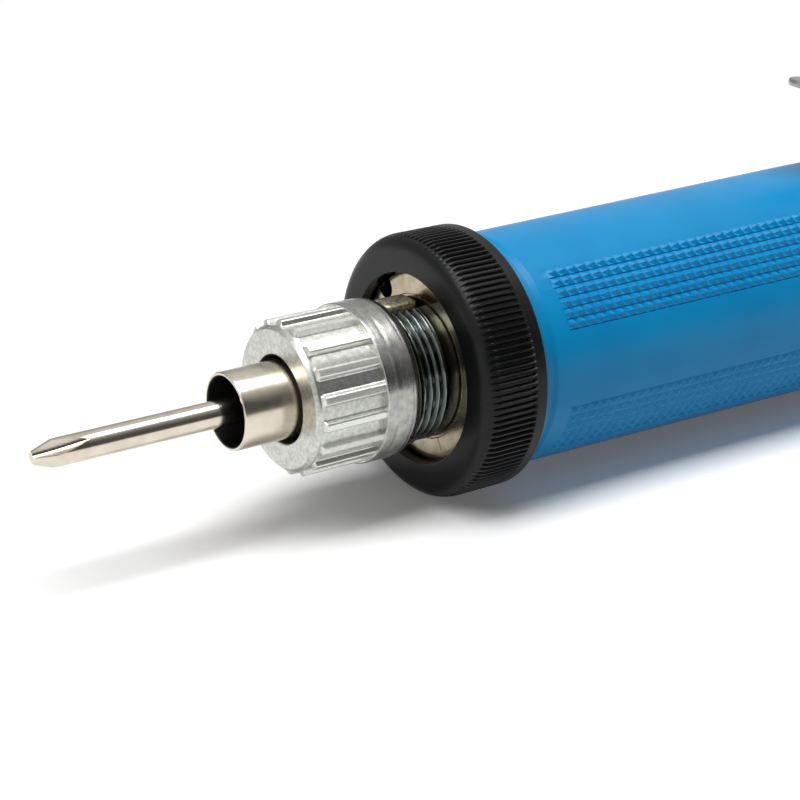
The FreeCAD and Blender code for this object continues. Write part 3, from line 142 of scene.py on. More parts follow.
def join(patches: list[Patch]) -> Patch:
    """One patch from several, with each one's faces counted past the points before it.

    Args:
        patches: The patches in order.

    Returns:
        The joined patch.
    """
    starts = np.cumsum([0] + [len(patch.points) for patch in patches[:-1]])
    return Patch(
        np.concatenate([patch.points for patch in patches]),
        np.concatenate([patch.quads + start for patch, start in zip(patches, starts)]),
        np.concatenate([patch.quad_slots for patch in patches]),
        np.concatenate([patch.tris + start for patch, start in zip(patches, starts)]),
        np.concatenate([patch.tri_slots for patch in patches]),
        np.concatenate([patch.crest for patch in patches]),
    )


def grid_quads(index: np.ndarray) -> np.ndarray:
    """Quads between the neighbours of a grid of point numbers, facing rows crossed with columns."""
    return np.stack([index[:-1, :-1], index[1:, :-1], index[1:, 1:], index[:-1, 1:]], axis=-1)


def numbers(rows: int, cols: int, loop: bool = False) -> np.ndarray:
    """Grid of point numbers whose first column comes again at the end, as does the first row of a loop."""
    index = np.arange(rows * cols).reshape(rows, cols)
    return np.pad(index, ((0, int(loop)), (0, 1)), mode="wrap")


def strip(index: np.ndarray, flip: bool = False) -> np.ndarray:
    """Quads of a grid of point numbers in one list, turned over if flipped."""
    quads = grid_quads(index).reshape(-1, 4)
    return quads[:, ::-1] if flip else quads


def grid(
    points: np.ndarray,
    loop: bool = False,
    crest: np.ndarray | float = 0.0,
    slots: np.ndarray | int = 0,
    ends: list[np.ndarray] | None = None,
) -> Patch:
    """Surface over a grid whose columns close round on themselves.

    Args:
        points: Rows by columns of points in metres.
        loop: Whether the last row joins the first.
        crest: Share of each point in the crest colour: rubbed wear, and on some pieces a painted highlight.
        slots: Material slot of each face.
        ends: Points that close the first row and the last, each by a fan of triangles.

    Returns:
        The patch, facing outwards when rows run along the axis and columns run up from the near side.
    """
    rows, cols = points.shape[:2]
    index = numbers(rows, cols)
    quads = grid_quads(numbers(rows, cols, loop))
    face_slots = np.broadcast_to(slots, quads.shape[:2])
    wear_and_highlight = np.broadcast_to(crest, (rows, cols)).ravel()
    flat = points.reshape(-1, 3)
    tris = []
    for end, edge in zip(ends or [], (index[0], index[-1, ::-1])):
        tip = np.full(cols, len(flat))
        tris.append(np.stack([tip, edge[:-1], edge[1:]], axis=-1))
        flat = np.vstack([flat, end])
    fans = np.concatenate(tris) if tris else np.zeros((0, 3), dtype=int)
    wear_and_highlight = np.concatenate([wear_and_highlight, np.zeros(len(flat) - len(wear_and_highlight))])
    fan_slots = np.full(len(fans), face_slots.flat[-1])
    return Patch(flat, quads.reshape(-1, 4), face_slots.ravel(), fans, fan_slots, wear_and_highlight)


def unit(way: np.ndarray) -> np.ndarray:
    """Directions brought to a length of 1."""
    return way / np.maximum(np.linalg.norm(way, axis=-1, keepdims=True), TINY)


def rounded(corners: list[tuple[float, float, float]], steps: int = 6) -> np.ndarray:
    """Closed run of points through corners, with a round at each.

    A round is an arc about a centre on the corner's bisector, at radius / sin(half angle) from the corner,
    between the points at radius / tan(half angle) along its two sides. A radius of 0 leaves the corner.

    Args:
        corners: The corners in order, each as two coordinates and a radius.
        steps: Points on each round.

    Returns:
        The run as an array of points, with repeated points dropped.
    """
    table = np.asarray(corners, dtype=float)
    corner = table[:, :2]
    radius = table[:, 2:]
    back = unit(np.roll(corner, 1, axis=0) - corner)
    ahead = unit(np.roll(corner, -1, axis=0) - corner)
    half = np.arccos(np.clip((back * ahead).sum(axis=1, keepdims=True), -1, 1)) / 2
    centre = corner + unit(back + ahead) * radius / np.sin(half)
    sweep = np.maximum(np.pi - 2 * half, TINY)[:, None]
    first = (corner + back * radius / np.tan(half) - centre)[:, None]
    last = (corner + ahead * radius / np.tan(half) - centre)[:, None]
    share = np.linspace(0, 1, steps)[None, :, None]
    arcs = (first * np.sin((1 - share) * sweep) + last * np.sin(share * sweep)) / np.sin(sweep)
    points = (centre[:, None] + arcs).reshape(-1, 2)
    gap = np.linalg.norm(points - np.roll(points, 1, axis=0), axis=1)
    return points[gap > NEAR]


def filled(points: np.ndarray, step: float, closed: bool = True) -> np.ndarray:
    """The same run with points added on its sides so that none are further apart than step.

    Args:
        points: The run.
        step: Longest distance between neighbours.
        closed: Whether the last point joins the first.

    Returns:
        The finer run.
    """
    start = points if closed else points[:-1]
    reach = (np.roll(points, -1, axis=0) if closed else points[1:]) - start
    count = np.maximum(1, np.ceil(np.linalg.norm(reach, axis=1) / step - NEAR)).astype(int)
    side = np.repeat(np.arange(len(start)), count)
    share = (np.arange(len(side)) - np.repeat(np.cumsum(count) - count, count)) / count[side]
    run = start[side] + reach[side] * share[:, None]
    return run if closed else np.vstack([run, points[-1:]])


def angles(knots: list[float], step: float) -> np.ndarray:
    """Angles once round from -90 degrees, through every knot and no further apart than step."""
    marks = np.unique(np.round(np.concatenate([knots, [-90.0, 270.0]]), ANGLE_PLACES))
    return filled(marks[:, None], step, closed=False)[:-1, 0]


def even(count: int) -> np.ndarray:
    """Angles once round from -90 degrees, in equal steps."""
    return np.linspace(-90, 270, count, endpoint=False)


def tent(share: np.ndarray) -> np.ndarray:
    """Triangle wave of a share of a pitch: 0 at whole numbers and 1 half way between."""
    return 1 - np.abs(2 * (share - np.floor(share)) - 1)


def octagon(deg: np.ndarray, flat: np.ndarray, corner: float) -> np.ndarray:
    """Radius of a round-cornered octagon: the flat's distance / cos off the flat, and arcs at the corners.

    Args:
        deg: Angles, with a flat's middle at 0.
        flat: Distance of the flats from the middle.
        corner: Radius of the corners.

    Returns:
        The radius at each angle.
    """
    eighth = math.pi / 8
    off = np.abs((np.radians(deg) + eighth) % (2 * eighth) - eighth)
    middle = (flat - corner) / math.cos(eighth)
    turn_at = np.arctan((flat - corner) * math.tan(eighth) / flat)
    past = off - eighth
    arc = middle * np.cos(past) + np.sqrt(np.maximum(0, corner**2 - (middle * np.sin(past)) ** 2))
    return np.where(off < turn_at, flat / np.cos(off), arc)


def plan(length: float, height: float, corner: float) -> np.ndarray:
    """Clockwise round-cornered rectangle about 0, as half length, half height and corner radius."""
    ways = ((1, 1), (1, -1), (-1, -1), (-1, 1))
    return rounded([(length * x, height * y, corner) for x, y in ways], steps=5)


# Finishes

def linear(code: str) -> tuple[float, float, float, float]:
    """Linear colour of an sRGB hex code.

    Args:
        code: The code, with its leading mark.

    Returns:
        Red, green, blue and a full alpha.
    """
    value = np.array([int(code[i:i + 2], 16) for i in (1, 3, 5)]) / 255
    light = np.where(value <= 0.04045, value / 12.92, ((value + 0.055) / 1.055) ** 2.4)
    return (*light.tolist(), 1.0)


def add_node(
    tree: bpy.types.NodeTree,
    kind: str,
    settings: dict | None = None,
    values: dict | None = None,
    links: dict | None = None,
) -> bpy.types.Node:
    """Add a node to a tree.

    Args:
        tree: The node tree.
        kind: The node's type.
        settings: Properties of the node.
        values: Values of its inputs, by name or number.
        links: Output sockets to join to its inputs, by name or number.

    Returns:
        The new node.
    """
    node = tree.nodes.new(kind)
    for key, value in (settings or {}).items():
        setattr(node, key, value)
    for key, value in (values or {}).items():
        node.inputs[key].default_value = value
    for key, socket in (links or {}).items():
        tree.links.new(socket, node.inputs[key])
    return node


def combine(
    tree: bpy.types.NodeTree, operation: str, first: bpy.types.NodeSocket, second: bpy.types.NodeSocket,
) -> bpy.types.NodeSocket:
    """Output of a Math node that takes two sockets."""
    return add_node(tree, "ShaderNodeMath", {"operation": operation}, links={0: first, 1: second}).outputs[0]


def remap(
    tree: bpy.types.NodeTree,
    value: bpy.types.NodeSocket,
    old: tuple[float, float],
    new: tuple[float, float],
) -> bpy.types.NodeSocket:
    """Output of a Map Range node that takes a value from one range to another."""
    values = dict(zip(("From Min", "From Max", "To Min", "To Max"), old + new))
    return add_node(tree, "ShaderNodeMapRange", values=values, links={"Value": value}).outputs[0]


class Grain(Enum):
    """How a surface was made, as the stretch of its pattern along X, Y and Z."""

    MOULDED = (1.0, 1.0, 1.0)
    TURNED = (1.0, 0.06, 0.06)
    DRAWN = (0.06, 1.0, 1.0)
    STACKED = (1.0, 0.01, 0.01)


# The stretches of a noise's values that are spread over a finish's colours and over its roughness
BLOTCH_RANGE = (0.35, 0.65)
GRAIN_RANGE = (0.3, 0.7)


@dataclass(frozen=True)
class Finish:
    """A real surface: its colours, its gloss and the pattern that its making left.

    The pattern is noise on Object coordinates at the grain's size in millimetres. It drives the roughness
    and the bump, and a second, coarser noise blends the two colours. Crests take the crest colour, which
    stands for rubbed wear and, on the nut's bars and the screw thread, for a painted highlight.
    """

    name: str
    colour: str
    shade: str
    grain: Grain
    size: float
    blotch: float
    relief: float
    rough: tuple[float, float]
    metallic: float = 0.0
    ior: float = 1.5
    wear_and_highlight: str | None = None
    specular: float = 0.5

    def material(self) -> bpy.types.Material:
        """Build the finish as a node material.

        Returns:
            The material.
        """
        made = bpy.data.materials.new(self.name)
        made.use_nodes = True
        tree = made.node_tree
        tree.nodes.clear()
        spot = add_node(tree, "ShaderNodeTexCoord").outputs["Object"]
        stretch = [axis / (self.size * MM) for axis in self.grain.value]
        drawn = add_node(tree, "ShaderNodeMapping", values={"Scale": stretch}, links={"Vector": spot})
        fine = add_node(
            tree, "ShaderNodeTexNoise", values={"Scale": 1.0, "Detail": 4.0, "Roughness": 0.6},
            links={"Vector": drawn.outputs[0]},
        ).outputs[0]
        coarse = add_node(
            tree, "ShaderNodeTexNoise", values={"Scale": 1 / (self.blotch * MM), "Detail": 3.0},
            links={"Vector": spot},
        ).outputs[0]
        share = remap(tree, coarse, BLOTCH_RANGE, (0.0, 1.0))
        tones = {6: linear(self.colour), 7: linear(self.shade)}
        colour = add_node(tree, "ShaderNodeMix", {"data_type": "RGBA"}, tones, {0: share}).outputs[2]
        # Crests take the crest colour: rubbed wear, and on the nut's bars and the thread a painted
        # highlight.
        if self.wear_and_highlight:
            crest = add_node(tree, "ShaderNodeAttribute", {"attribute_name": "crest"}).outputs["Fac"]
            links = {0: combine(tree, "MULTIPLY", crest, fine), 6: colour}
            rubbed_and_lit = {7: linear(self.wear_and_highlight)}
            colour = add_node(tree, "ShaderNodeMix", {"data_type": "RGBA"}, rubbed_and_lit, links).outputs[2]
        gloss = remap(tree, fine, GRAIN_RANGE, self.rough)
        bump = add_node(
            tree, "ShaderNodeBump", values={"Strength": 1.0, "Distance": self.relief * MM},
            links={"Height": fine},
        )
        values = {"Metallic": self.metallic}
        if self.metallic < 0.5:
            values |= {"IOR": self.ior, "Specular IOR Level": self.specular}
        shader = add_node(
            tree, "ShaderNodeBsdfPrincipled", values=values,
            links={"Base Color": colour, "Roughness": gloss, "Normal": bump.outputs[0]},
        )
        add_node(tree, "ShaderNodeOutputMaterial", links={"Surface": shader.outputs[0]})
        return made


# Each finish is keyed by its slot in the record. Grain finer than a pixel is drawn coarse enough to show.
FINISHES = {
    # Injection-moulded ABS: an even blue with a satin skin that lifts to a soft white sheen on top.
    "blue_abs": Finish("moulded_abs_blue", "#0692cf", "#048dcb", Grain.MOULDED, 0.35, 9.0, 0.003,
                       (0.3, 0.38), ior=1.54, specular=0.2),
    # Moulded glass-filled nylon: near black, matt, with a fine flow grain and paler rubbed crests.
    "black_nylon": Finish("moulded_nylon_black", "#0a0b0c", "#060708", Grain.MOULDED, 0.3, 4.0, 0.006,
                          (0.3, 0.42), ior=1.53, wear_and_highlight="#141517", specular=0.22),
    # Tumbled die-cast zinc: pale grey metal, lightly mottled; its crests take a paler colour, partly rubbed
    # wear and partly a painted highlight.
    "zinc_casting": Finish("die_cast_zinc_tumbled", "#d3d4cf", "#b9bab4", Grain.MOULDED, 0.3, 0.6, 0.02,
                           (0.26, 0.44), 1.0, wear_and_highlight="#f1f2ec"),
    # The casting's turned collar: smooth grey metal with fine tool rings that streak its highlights.
    "zinc_turned": Finish("die_cast_zinc_turned", "#b6b5ae", "#999a97", Grain.TURNED, 0.3, 1.2, 0.006,
                          (0.18, 0.32), 1.0),
    # Satin nickel plate on turned steel: warm champagne metal with fine rings round the axis.
    "champagne_nickel": Finish("satin_nickel_turned", "#ddd4c5", "#d3c9b7", Grain.TURNED, 0.15, 3.0, 0.0004,
                               (0.18, 0.25), 1.0),
    # Faced nickel plate: the same warm metal, duller where the flange was faced and handled.
    "faced_nickel": Finish("satin_nickel_faced", "#b9ad97", "#a3967f", Grain.MOULDED, 0.5, 2.0, 0.002,
                           (0.16, 0.28), 1.0),
    # Sheared strip: brown-grey metal, torn rough where the press broke it off.
    "sheared_strip": Finish("sheared_steel_strip", "#aaa28c", "#6c6555", Grain.MOULDED, 0.55, 0.5, 0.14,
                            (0.4, 0.6), 1.0),
    # Oiled steel, screw-cut: dark grey metal with a greasy film; its crests take a paler colour, partly
    # rubbed wear and partly a painted highlight.
    "dark_steel": Finish("screw_cut_steel_oiled", "#434b49", "#2e3534", Grain.TURNED, 0.2, 1.2, 0.003,
                         (0.12, 0.22), 1.0, wear_and_highlight="#989e9a"),
    # Ground tool steel: smooth warm silver with faint grinding rings.
    "bit_steel": Finish("ground_tool_steel", "#dfd5c7", "#d3c8b9", Grain.TURNED, 0.15, 2.5, 0.0005,
                        (0.14, 0.2), 1.0),
    # Pressed stainless strip: mid grey metal with lengthwise rolling lines.
    "lever_steel": Finish("pressed_stainless_strip", "#b4b5b5", "#a3a5a6", Grain.DRAWN, 0.25, 5.0, 0.004,
                          (0.25, 0.4), 1.0),
    # Drawn spring wire: grey metal with die lines.
    "spring_steel": Finish("drawn_spring_wire", "#9c9da0", "#87898c", Grain.DRAWN, 0.2, 2.0, 0.004,
                           (0.25, 0.4), 1.0),
    # Sintered bronze: dull brown gold with open pores.
    "bearing_bronze": Finish("sintered_bronze", "#a97c48", "#8f6436", Grain.MOULDED, 0.25, 1.0, 0.015,
                             (0.35, 0.55), 1.0),
    # Hobbed gear steel: grey metal with cutter marks.
    "gear_steel": Finish("hobbed_gear_steel", "#aeb0b2", "#999b9d", Grain.DRAWN, 0.3, 1.5, 0.006,
                         (0.25, 0.45), 1.0),
    # Zinc-plated sheet: pale grey metal with a soft spangle.
    "motor_steel": Finish("zinc_plated_sheet", "#b9bbbd", "#a4a7aa", Grain.MOULDED, 0.6, 3.5, 0.004,
                          (0.25, 0.42), 1.0),
    # Pressed ferrite: dark grey ceramic, dull, with pressed grain.
    "ferrite": Finish("pressed_ferrite", "#47484a", "#3a3b3d", Grain.MOULDED, 0.3, 1.5, 0.015,
                      (0.55, 0.75), ior=2.0),
    # Stacked laminations: grey steel with a line for every sheet of the stack.
    "laminated_steel": Finish("stacked_laminations", "#87898c", "#66686b", Grain.STACKED, 0.5, 1.2, 0.05,
                              (0.35, 0.5), 1.0),
    # Enamelled copper wire: warm red metal in fine turns.
    "copper": Finish("enamelled_copper_wire", "#c9774a", "#a95c34", Grain.DRAWN, 0.4, 1.5, 0.03,
                     (0.2, 0.35), 1.0),
    # Pressed carbon: black, matt and slightly powdery.
    "carbon": Finish("pressed_carbon", "#2b2b2b", "#1f1f1f", Grain.MOULDED, 0.25, 1.0, 0.01,
                     (0.6, 0.8), ior=1.8),
    # Moulded polyester: cream, even, with a light satin skin.
    "cream_moulding": Finish("moulded_polyester_cream", "#d9d2c0", "#d0c8b4", Grain.MOULDED, 0.35, 5.0,
                             0.005, (0.4, 0.5), ior=1.57),
    # Glass-epoxy board: green lacquer over a woven laminate.
    "board_green": Finish("glass_epoxy_lacquered", "#1f6b3c", "#1a5c33", Grain.MOULDED, 0.5, 1.0, 0.006,
                          (0.2, 0.35), ior=1.55),
    # Moulded polycarbonate: clear red with a gloss skin.
    "rocker_red": Finish("moulded_polycarbonate_red", "#b3221d", "#a31d19", Grain.MOULDED, 0.4, 4.0, 0.003,
                         (0.18, 0.26), ior=1.585),
    # Turned brass: yellow metal with tool rings.
    "brass_pin": Finish("turned_brass", "#d2b36a", "#c3a257", Grain.TURNED, 0.2, 1.5, 0.003,
                        (0.2, 0.32), 1.0),
    # Blackened steel: black oxide on the spindle's nose; lining the sleeve's bore and the flange's spanner
    # hole it is painted shade, near black where shade falls inside them.
    "blackened": Finish("black_oxide_and_painted_shade", "#0e0e0f", "#090909", Grain.MOULDED, 0.3, 1.0, 0.004,
                        (0.45, 0.6), specular=0.3),
}


class Finishes:
    """The finishes as materials, each made once, and the pieces that wear them."""

    def __init__(self) -> None:
        """Make every finish's material."""
        self.made = {slot: finish.material() for slot, finish in FINISHES.items()}

    def dress(self, piece: bpy.types.Object, *slots: str) -> None:
        """Give a piece the finishes of some slots, in the order of its faces' slot numbers."""
        if piece.data.materials:
            piece.data.materials.clear()
        for slot in slots:
            piece.data.materials.append(self.made[slot])

    def dress_nodes(self) -> None:
        """Give every CAD node the finish of its own slot, and the spindle its blackened nose."""
        for subpart in frame["record"]["subparts"]:
            self.dress(frame["nodes"][subpart["node"]], subpart["material_slot"])
        self.dress(frame["nodes"]["spindle"], "blackened")

    def make(
        self, name: str, patch: Patch, body: str, node: str, *slots: str, sharp: float = 30.0,
        stretch: tuple[str, np.ndarray, np.ndarray] | None = None,
    ) -> None:
        """Put a patch into a mesh object at the origin, tie it to its body unless it stretches, and dress
        it.

        Args:
            name: The piece's name.
            patch: Its surface.
            body: The CAD body that it moves with.
            node: The CAD node that it stands for.
            slots: Its finishes by the slot numbers of its faces, the first being its slot in the record.
            sharp: Angle between faces past which an edge is shaded sharp.
            stretch: For a piece that stretches to another body, that body and the stretch's two ends. Only
                whether it is given is read: such a piece stays where it is built and is tied to no body.
        """
        mesh = bpy.data.meshes.new(name)
        corners = np.concatenate([patch.quads.ravel(), patch.tris.ravel()]).astype(np.int32)
        sizes = np.repeat([4, 3], [len(patch.quads), len(patch.tris)])
        mesh.vertices.add(len(patch.points))
        mesh.vertices.foreach_set("co", patch.points.astype(np.float32).ravel())
        mesh.loops.add(len(corners))
        mesh.loops.foreach_set("vertex_index", corners)
        mesh.polygons.add(len(sizes))
        mesh.polygons.foreach_set("loop_start", (np.cumsum(sizes) - sizes).astype(np.int32))
        mesh.update(calc_edges=True)
        mesh.validate()
        slot_numbers = np.concatenate([patch.quad_slots, patch.tri_slots]).astype(np.int32)
        mesh.polygons.foreach_set("material_index", slot_numbers)
        crest = mesh.attributes.new("crest", "FLOAT", "POINT")
        crest.data.foreach_set("value", patch.crest.astype(np.float32))
        mesh.shade_smooth()
        mesh.set_sharp_from_angle(angle=math.radians(sharp))
        piece = bpy.data.objects.new(name, mesh)
        bpy.context.scene.collection.objects.link(piece)
        if stretch is None:
            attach(piece, body)
        else:
            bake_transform(piece)
        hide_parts(node)
        self.dress(piece, *slots)
        LOG.info("%s: %d points, %d faces, on %s", name, len(patch.points), len(sizes), body)


# Sub-assemblies, from the bit to the tail, and the springs inside

@dataclass
class DriverBit:
    """The cross-point bit: a ground rod whose tip cone is cut by flutes."""

    axis: Axis
    cone: float = 2.9
    tip_r: float = 0.95
    tip_round: float = 0.3
    tip_rows: tuple[float, ...] = (0.0, 0.03, 0.08, 0.16)
    flutes: int = 4
    flute: float = 7.9
    flute_r: float = 0.6
    flute_bend: float = 1.6
    flute_half: float = 54.0
    flute_sharp: float = 0.12
    flute_deg: float = 45.0
    wing_deg: tuple[float, float] = (4.0, 38.0)
    steep_least: float = 0.001
    rows: tuple[int, int, int] = (24, 30, 8)
    past_cone: float = 0.15
    past_flute: float = 0.1
    clear_flute: float = 1.0
    around: int = 24
    flute_share: float = 0.75
    crowding: float = 1.5

    def surface(self) -> Patch:
        """The bit: the rod's radius by distance from the tip, cut where the flutes lie deeper.

        A flute is a blunt V whose root climbs from flute_r at the tip to the rod's skin, by a power of the
        distance. Its section is a hyperbola: a point r out at an angle off the flute's middle lies on it
        where (r cos - hub)^2 = sharp^2 + (lean r sin)^2, with the hub sharp inside the root. The same line
        solved for the skin's radius gives the wing's edge, which each row's columns follow. Most of the
        columns lie in the flute, crowded towards its root.

        Returns:
            The closed surface.
        """
        first, last = self.axis.span("bit")
        rod = self.axis.radius("bit")
        on_cone, on_flutes, on_rod = self.rows
        back = np.concatenate([
            self.tip_rows, np.linspace(self.tip_round, self.cone, on_cone),
            np.linspace(self.cone + self.past_cone, self.flute + self.past_flute, on_flutes),
            np.linspace(self.flute + self.clear_flute, last - first, on_rod),
        ])[:, None]
        cone = self.tip_r + (rod - self.tip_r) * back / self.cone
        short = np.clip(1 - back / self.tip_round, 0, 1)
        skin = np.minimum(rod, cone - self.tip_round * (1 - np.sqrt(1 - short**2)))
        root = self.flute_r + (rod - self.flute_r) * (back / self.flute) ** self.flute_bend
        lean = 1 / np.tan(np.radians(self.flute_half))
        hub = root - self.flute_sharp
        core = hub**2 - self.flute_sharp**2
        spread = 1 + lean**2
        reach = hub**2 - spread * (core - (skin * lean) ** 2)
        meet = (hub + np.sqrt(np.maximum(0, reach))) / (skin * spread)
        edge = np.clip(np.degrees(np.arccos(np.clip(meet, -1, 1))), *self.wing_deg)
        walk = np.linspace(-1, 1, self.around, endpoint=False)[None, :]
        far = np.abs(walk)
        half = 180 / self.flutes
        inside = (far / self.flute_share) ** self.crowding * edge
        outside = edge + (far - self.flute_share) / (1 - self.flute_share) * (half - edge)
        off = np.where(far < self.flute_share, inside, outside)
        cos, sin = np.cos(np.radians(off)), np.sin(np.radians(off))
        steep = cos**2 - (lean * sin) ** 2
        climb = hub * cos + np.sqrt(np.maximum(0, (hub * cos) ** 2 - steep * core))
        wall = np.where(off <= edge + NEAR, climb / np.maximum(steep, self.steep_least), skin)
        radius = np.tile(np.minimum(skin, wall), self.flutes)
        fan = np.sign(walk) * off
        deg = np.concatenate([self.flute_deg + 2 * half * i + fan for i in range(self.flutes)], axis=1)
        ends = [self.axis.place(s, 0.0, 0.0) for s in (first, last)]
        return grid(self.axis.place(first + back, radius, deg), ends=ends)

    def build(self, finishes: Finishes) -> None:
        """Build the bit in ground steel."""
        finishes.make("driver_bit", self.surface(), "spindle", "bit", "bit_steel", sharp=18)


@dataclass
class ChuckSleeve:
    """The quick-change sleeve: a thin turned tube with a rolled rim and a bore blackened as painted shade.
    """

    axis: Axis
    wall: float = 0.64
    rim: float = 0.29
    rear_round: float = 0.2
    step: float = 2.0
    around: int = 120
    slots: tuple[str, ...] = ("champagne_nickel", "blackened")

    def surface(self) -> Patch:
        """The tube: a round-cornered wall section turned about the axis, with its bore in the second slot,
        blackened as painted shade.

        Returns:
            The closed surface.
        """
        first, last = self.axis.span("chuck_sleeve")
        outer = self.axis.radius("chuck_sleeve")
        bore = outer - self.wall
        run = filled(rounded([
            (first, bore, self.rim), (first, outer, self.rim),
            (last, outer, self.rear_round), (last, bore, self.rear_round),
        ]), self.step)
        # The bore's faces take the blackened finish: painted shade inside the tube.
        low = run[:, 1] < bore + self.wall / 3
        inside = low & np.roll(low, -1)
        return grid(self.axis.turned(run, self.around), loop=True, slots=inside[:, None].astype(int))

    def build(self, finishes: Finishes) -> None:
        """Build the sleeve in satin nickel, with its bore blackened as painted shade."""
        finishes.make("chuck_sleeve_tube", self.surface(), "sleeve", "chuck_sleeve", *self.slots)


@dataclass
class TorqueNut:
    """The torque nut: a die-cast body with raised bars round its front and a turned collar behind."""

    axis: Axis
    bore: float = 6.54
    core_r: float = 10.7
    edge: float = 0.5
    collar: float = 5.9
    thread_r: float = 10.75
    thread_start: float = 0.5
    cavity_r: float = 9.3
    front_wall: float = 2.7
    bars: int = 18
    bar_deg: float = 14.7
    bar_height: float = 0.8
    bar_set: float = 0.8
    bar_slope: float = 0.35
    bar_top: float = 0.5
    bar_foot: float = 0.92
    bar_soft: float = 0.14
    gap_share: float = 0.78
    groove: float = 0.07
    groove_width: float = 0.16
    grooves: tuple[float, ...] = (1.95, 4.55)
    rear_bevel: float = 1.3
    rear_drop: float = 0.35
    soft_round: float = 0.3
    inner_round: float = 0.2
    edge_round: float = 0.12
    collar_round: float = 0.18
    bevel_round: float = 0.15
    step: float = 0.3
    slots: tuple[str, ...] = ("zinc_casting", "zinc_turned")

    def columns(self) -> tuple[np.ndarray, np.ndarray]:
        """Angles of the grid's columns and the share of a bar's height at each.

        Returns:
            Angles in degrees and shares: a bar rises from its foot to its top with softened edges.
        """
        soft = (self.bar_foot - self.bar_top) / 5
        half = np.array([
            0.0, self.bar_top - soft, self.bar_top + soft, self.bar_foot - soft, self.bar_foot + soft,
        ])
        height = np.array([1.0, 1.0, 1 - self.bar_soft, self.bar_soft, 0.0])
        pitch = 360 / self.bars
        bar = np.degrees(np.concatenate([-half[:0:-1], half]) / (self.core_r + self.bar_height / 2))
        off = np.concatenate([bar, [self.gap_share * pitch / 2, pitch / 2]])
        share = np.concatenate([height[:0:-1], height, [0.0, 0.0]])
        deg = self.bar_deg + pitch * np.arange(self.bars)[:, None] + off
        return deg.ravel(), np.tile(share, self.bars)

    def surface(self) -> Patch:
        """The nut: a turned wall section, raised along the bars.

        A bar's top climbs steeply from its front end, then runs level into the collar's face. Two
        shallow grooves, each a bell-shaped dip, mark the collar.

        Returns:
            The closed surface.
        """
        face, rear = self.axis.span("torque_nut")
        collar_r = self.axis.radius("torque_nut")
        step = rear - self.collar
        start = face + self.bar_set
        level = start + self.bar_slope
        thread = step + self.thread_start
        wall = face + self.front_wall
        run = filled(rounded([
            (face, self.bore, self.soft_round), (face, self.core_r - self.edge, self.edge_round),
            (face + self.edge, self.core_r, self.edge_round), (start, self.core_r, 0),
            (level, self.core_r, 0), (step, self.core_r, 0), (step, collar_r, self.collar_round),
            (rear - self.rear_bevel, collar_r, self.bevel_round),
            (rear, collar_r - self.rear_drop, self.soft_round), (rear, self.thread_r, self.bevel_round),
            (thread, self.thread_r, 0), (thread, self.cavity_r, 0),
            (wall, self.cavity_r, self.soft_round), (wall, self.bore, self.inner_round),
        ], steps=5), self.step)
        s = run[:, :1]
        r = run[:, 1:]
        deg, share = self.columns()
        on_collar = (r > collar_r - HAIR) & (s > step)
        dips = [np.exp(-(((s - step - at) / self.groove_width) ** 2)) for at in self.grooves]
        radius = r - np.where(on_collar, self.groove * sum(dips), 0)
        climb = self.bar_height * np.clip((s - start) / self.bar_slope, 0, 1)
        on_core = (r > self.core_r - NEAR) & (s >= start) & (s <= step + NEAR)
        radius = np.where(on_core, np.maximum(radius, self.core_r + climb * share), radius)
        # The bars' tops take the casting's paler crest colour: rubbed wear and a painted highlight.
        crest = np.where(on_core & (climb > 0), share, 0)
        turned = (r > self.thread_r) & (s > step + HAIR)
        points = self.axis.place(s, radius, deg)
        return grid(points, loop=True, crest=crest, slots=turned.astype(int))

    def build(self, finishes: Finishes) -> None:
        """Build the nut in die-cast zinc, with a turned collar."""
        finishes.make("torque_nut_casting", self.surface(), "torque_nut", "torque_nut", *self.slots)


@dataclass
class ThrustWasher:
    """The washer under the clutch spring, whose two lugs stand in the barrel's slots."""

    axis: Axis
    thickness: float = 2.0
    hole: float = 5.2
    ring_r: float = 8.95
    edge: float = 0.2
    lugs: tuple[float, ...] = (90.0, -90.0)
    lug_half: float = 2.2
    lug_foot: float = 8.4
    lug_round: float = 0.45
    corner: float = 0.9
    top_steps: int = 5
    around: int = 96
    slots: tuple[str, ...] = ("champagne_nickel", "sheared_strip")

    def ring(self) -> Patch:
        """The washer's ring: a round-cornered section turned about the axis.

        Returns:
            The closed surface.
        """
        first, _ = self.axis.span("thrust_washer")
        last = first + self.thickness
        corners = [(first, self.hole), (first, self.ring_r), (last, self.ring_r), (last, self.hole)]
        run = rounded([(*corner, self.edge) for corner in corners], steps=4)
        return grid(self.axis.turned(run, self.around), loop=True)

    def lug(self, deg: float) -> Patch:
        """One lug: layers of a round-cornered plan on the cylinder at rising radius, drawn in at the top.

        Args:
            deg: The lug's angle.

        Returns:
            The closed surface.
        """
        first, last = self.axis.span("thrust_washer")
        top = self.axis.reach("thrust_washer")
        middle = (first + last) / 2
        length = (last - first) / 2
        turn = np.linspace(0, math.pi / 2, self.top_steps)
        draw = np.concatenate([[0, 0], self.lug_round * (1 - np.cos(turn))])[:, None]
        shoulder = top - self.lug_round * (1 - np.sin(turn))
        radius = np.concatenate([[self.lug_foot, (self.lug_foot + top) / 2], shoulder])[:, None]
        base = plan(length, self.lug_half, self.corner)[::-1]
        s = middle + base[:, 0] * (1 - draw / length)
        across = base[:, 1] * (1 - draw / self.lug_half)
        points = self.axis.place(s, radius, deg - np.degrees(across / radius))
        ends = [self.axis.place(middle, r, deg) for r in (self.lug_foot, top)]
        return grid(points, slots=1, ends=ends)

    def build(self, finishes: Finishes) -> None:
        """Build the washer with its lugs in nickel and sheared strip."""
        patch = join([self.ring()] + [self.lug(deg) for deg in self.lugs])
        finishes.make("thrust_washer_lugs", patch, "thrust_washer", "thrust_washer", *self.slots)


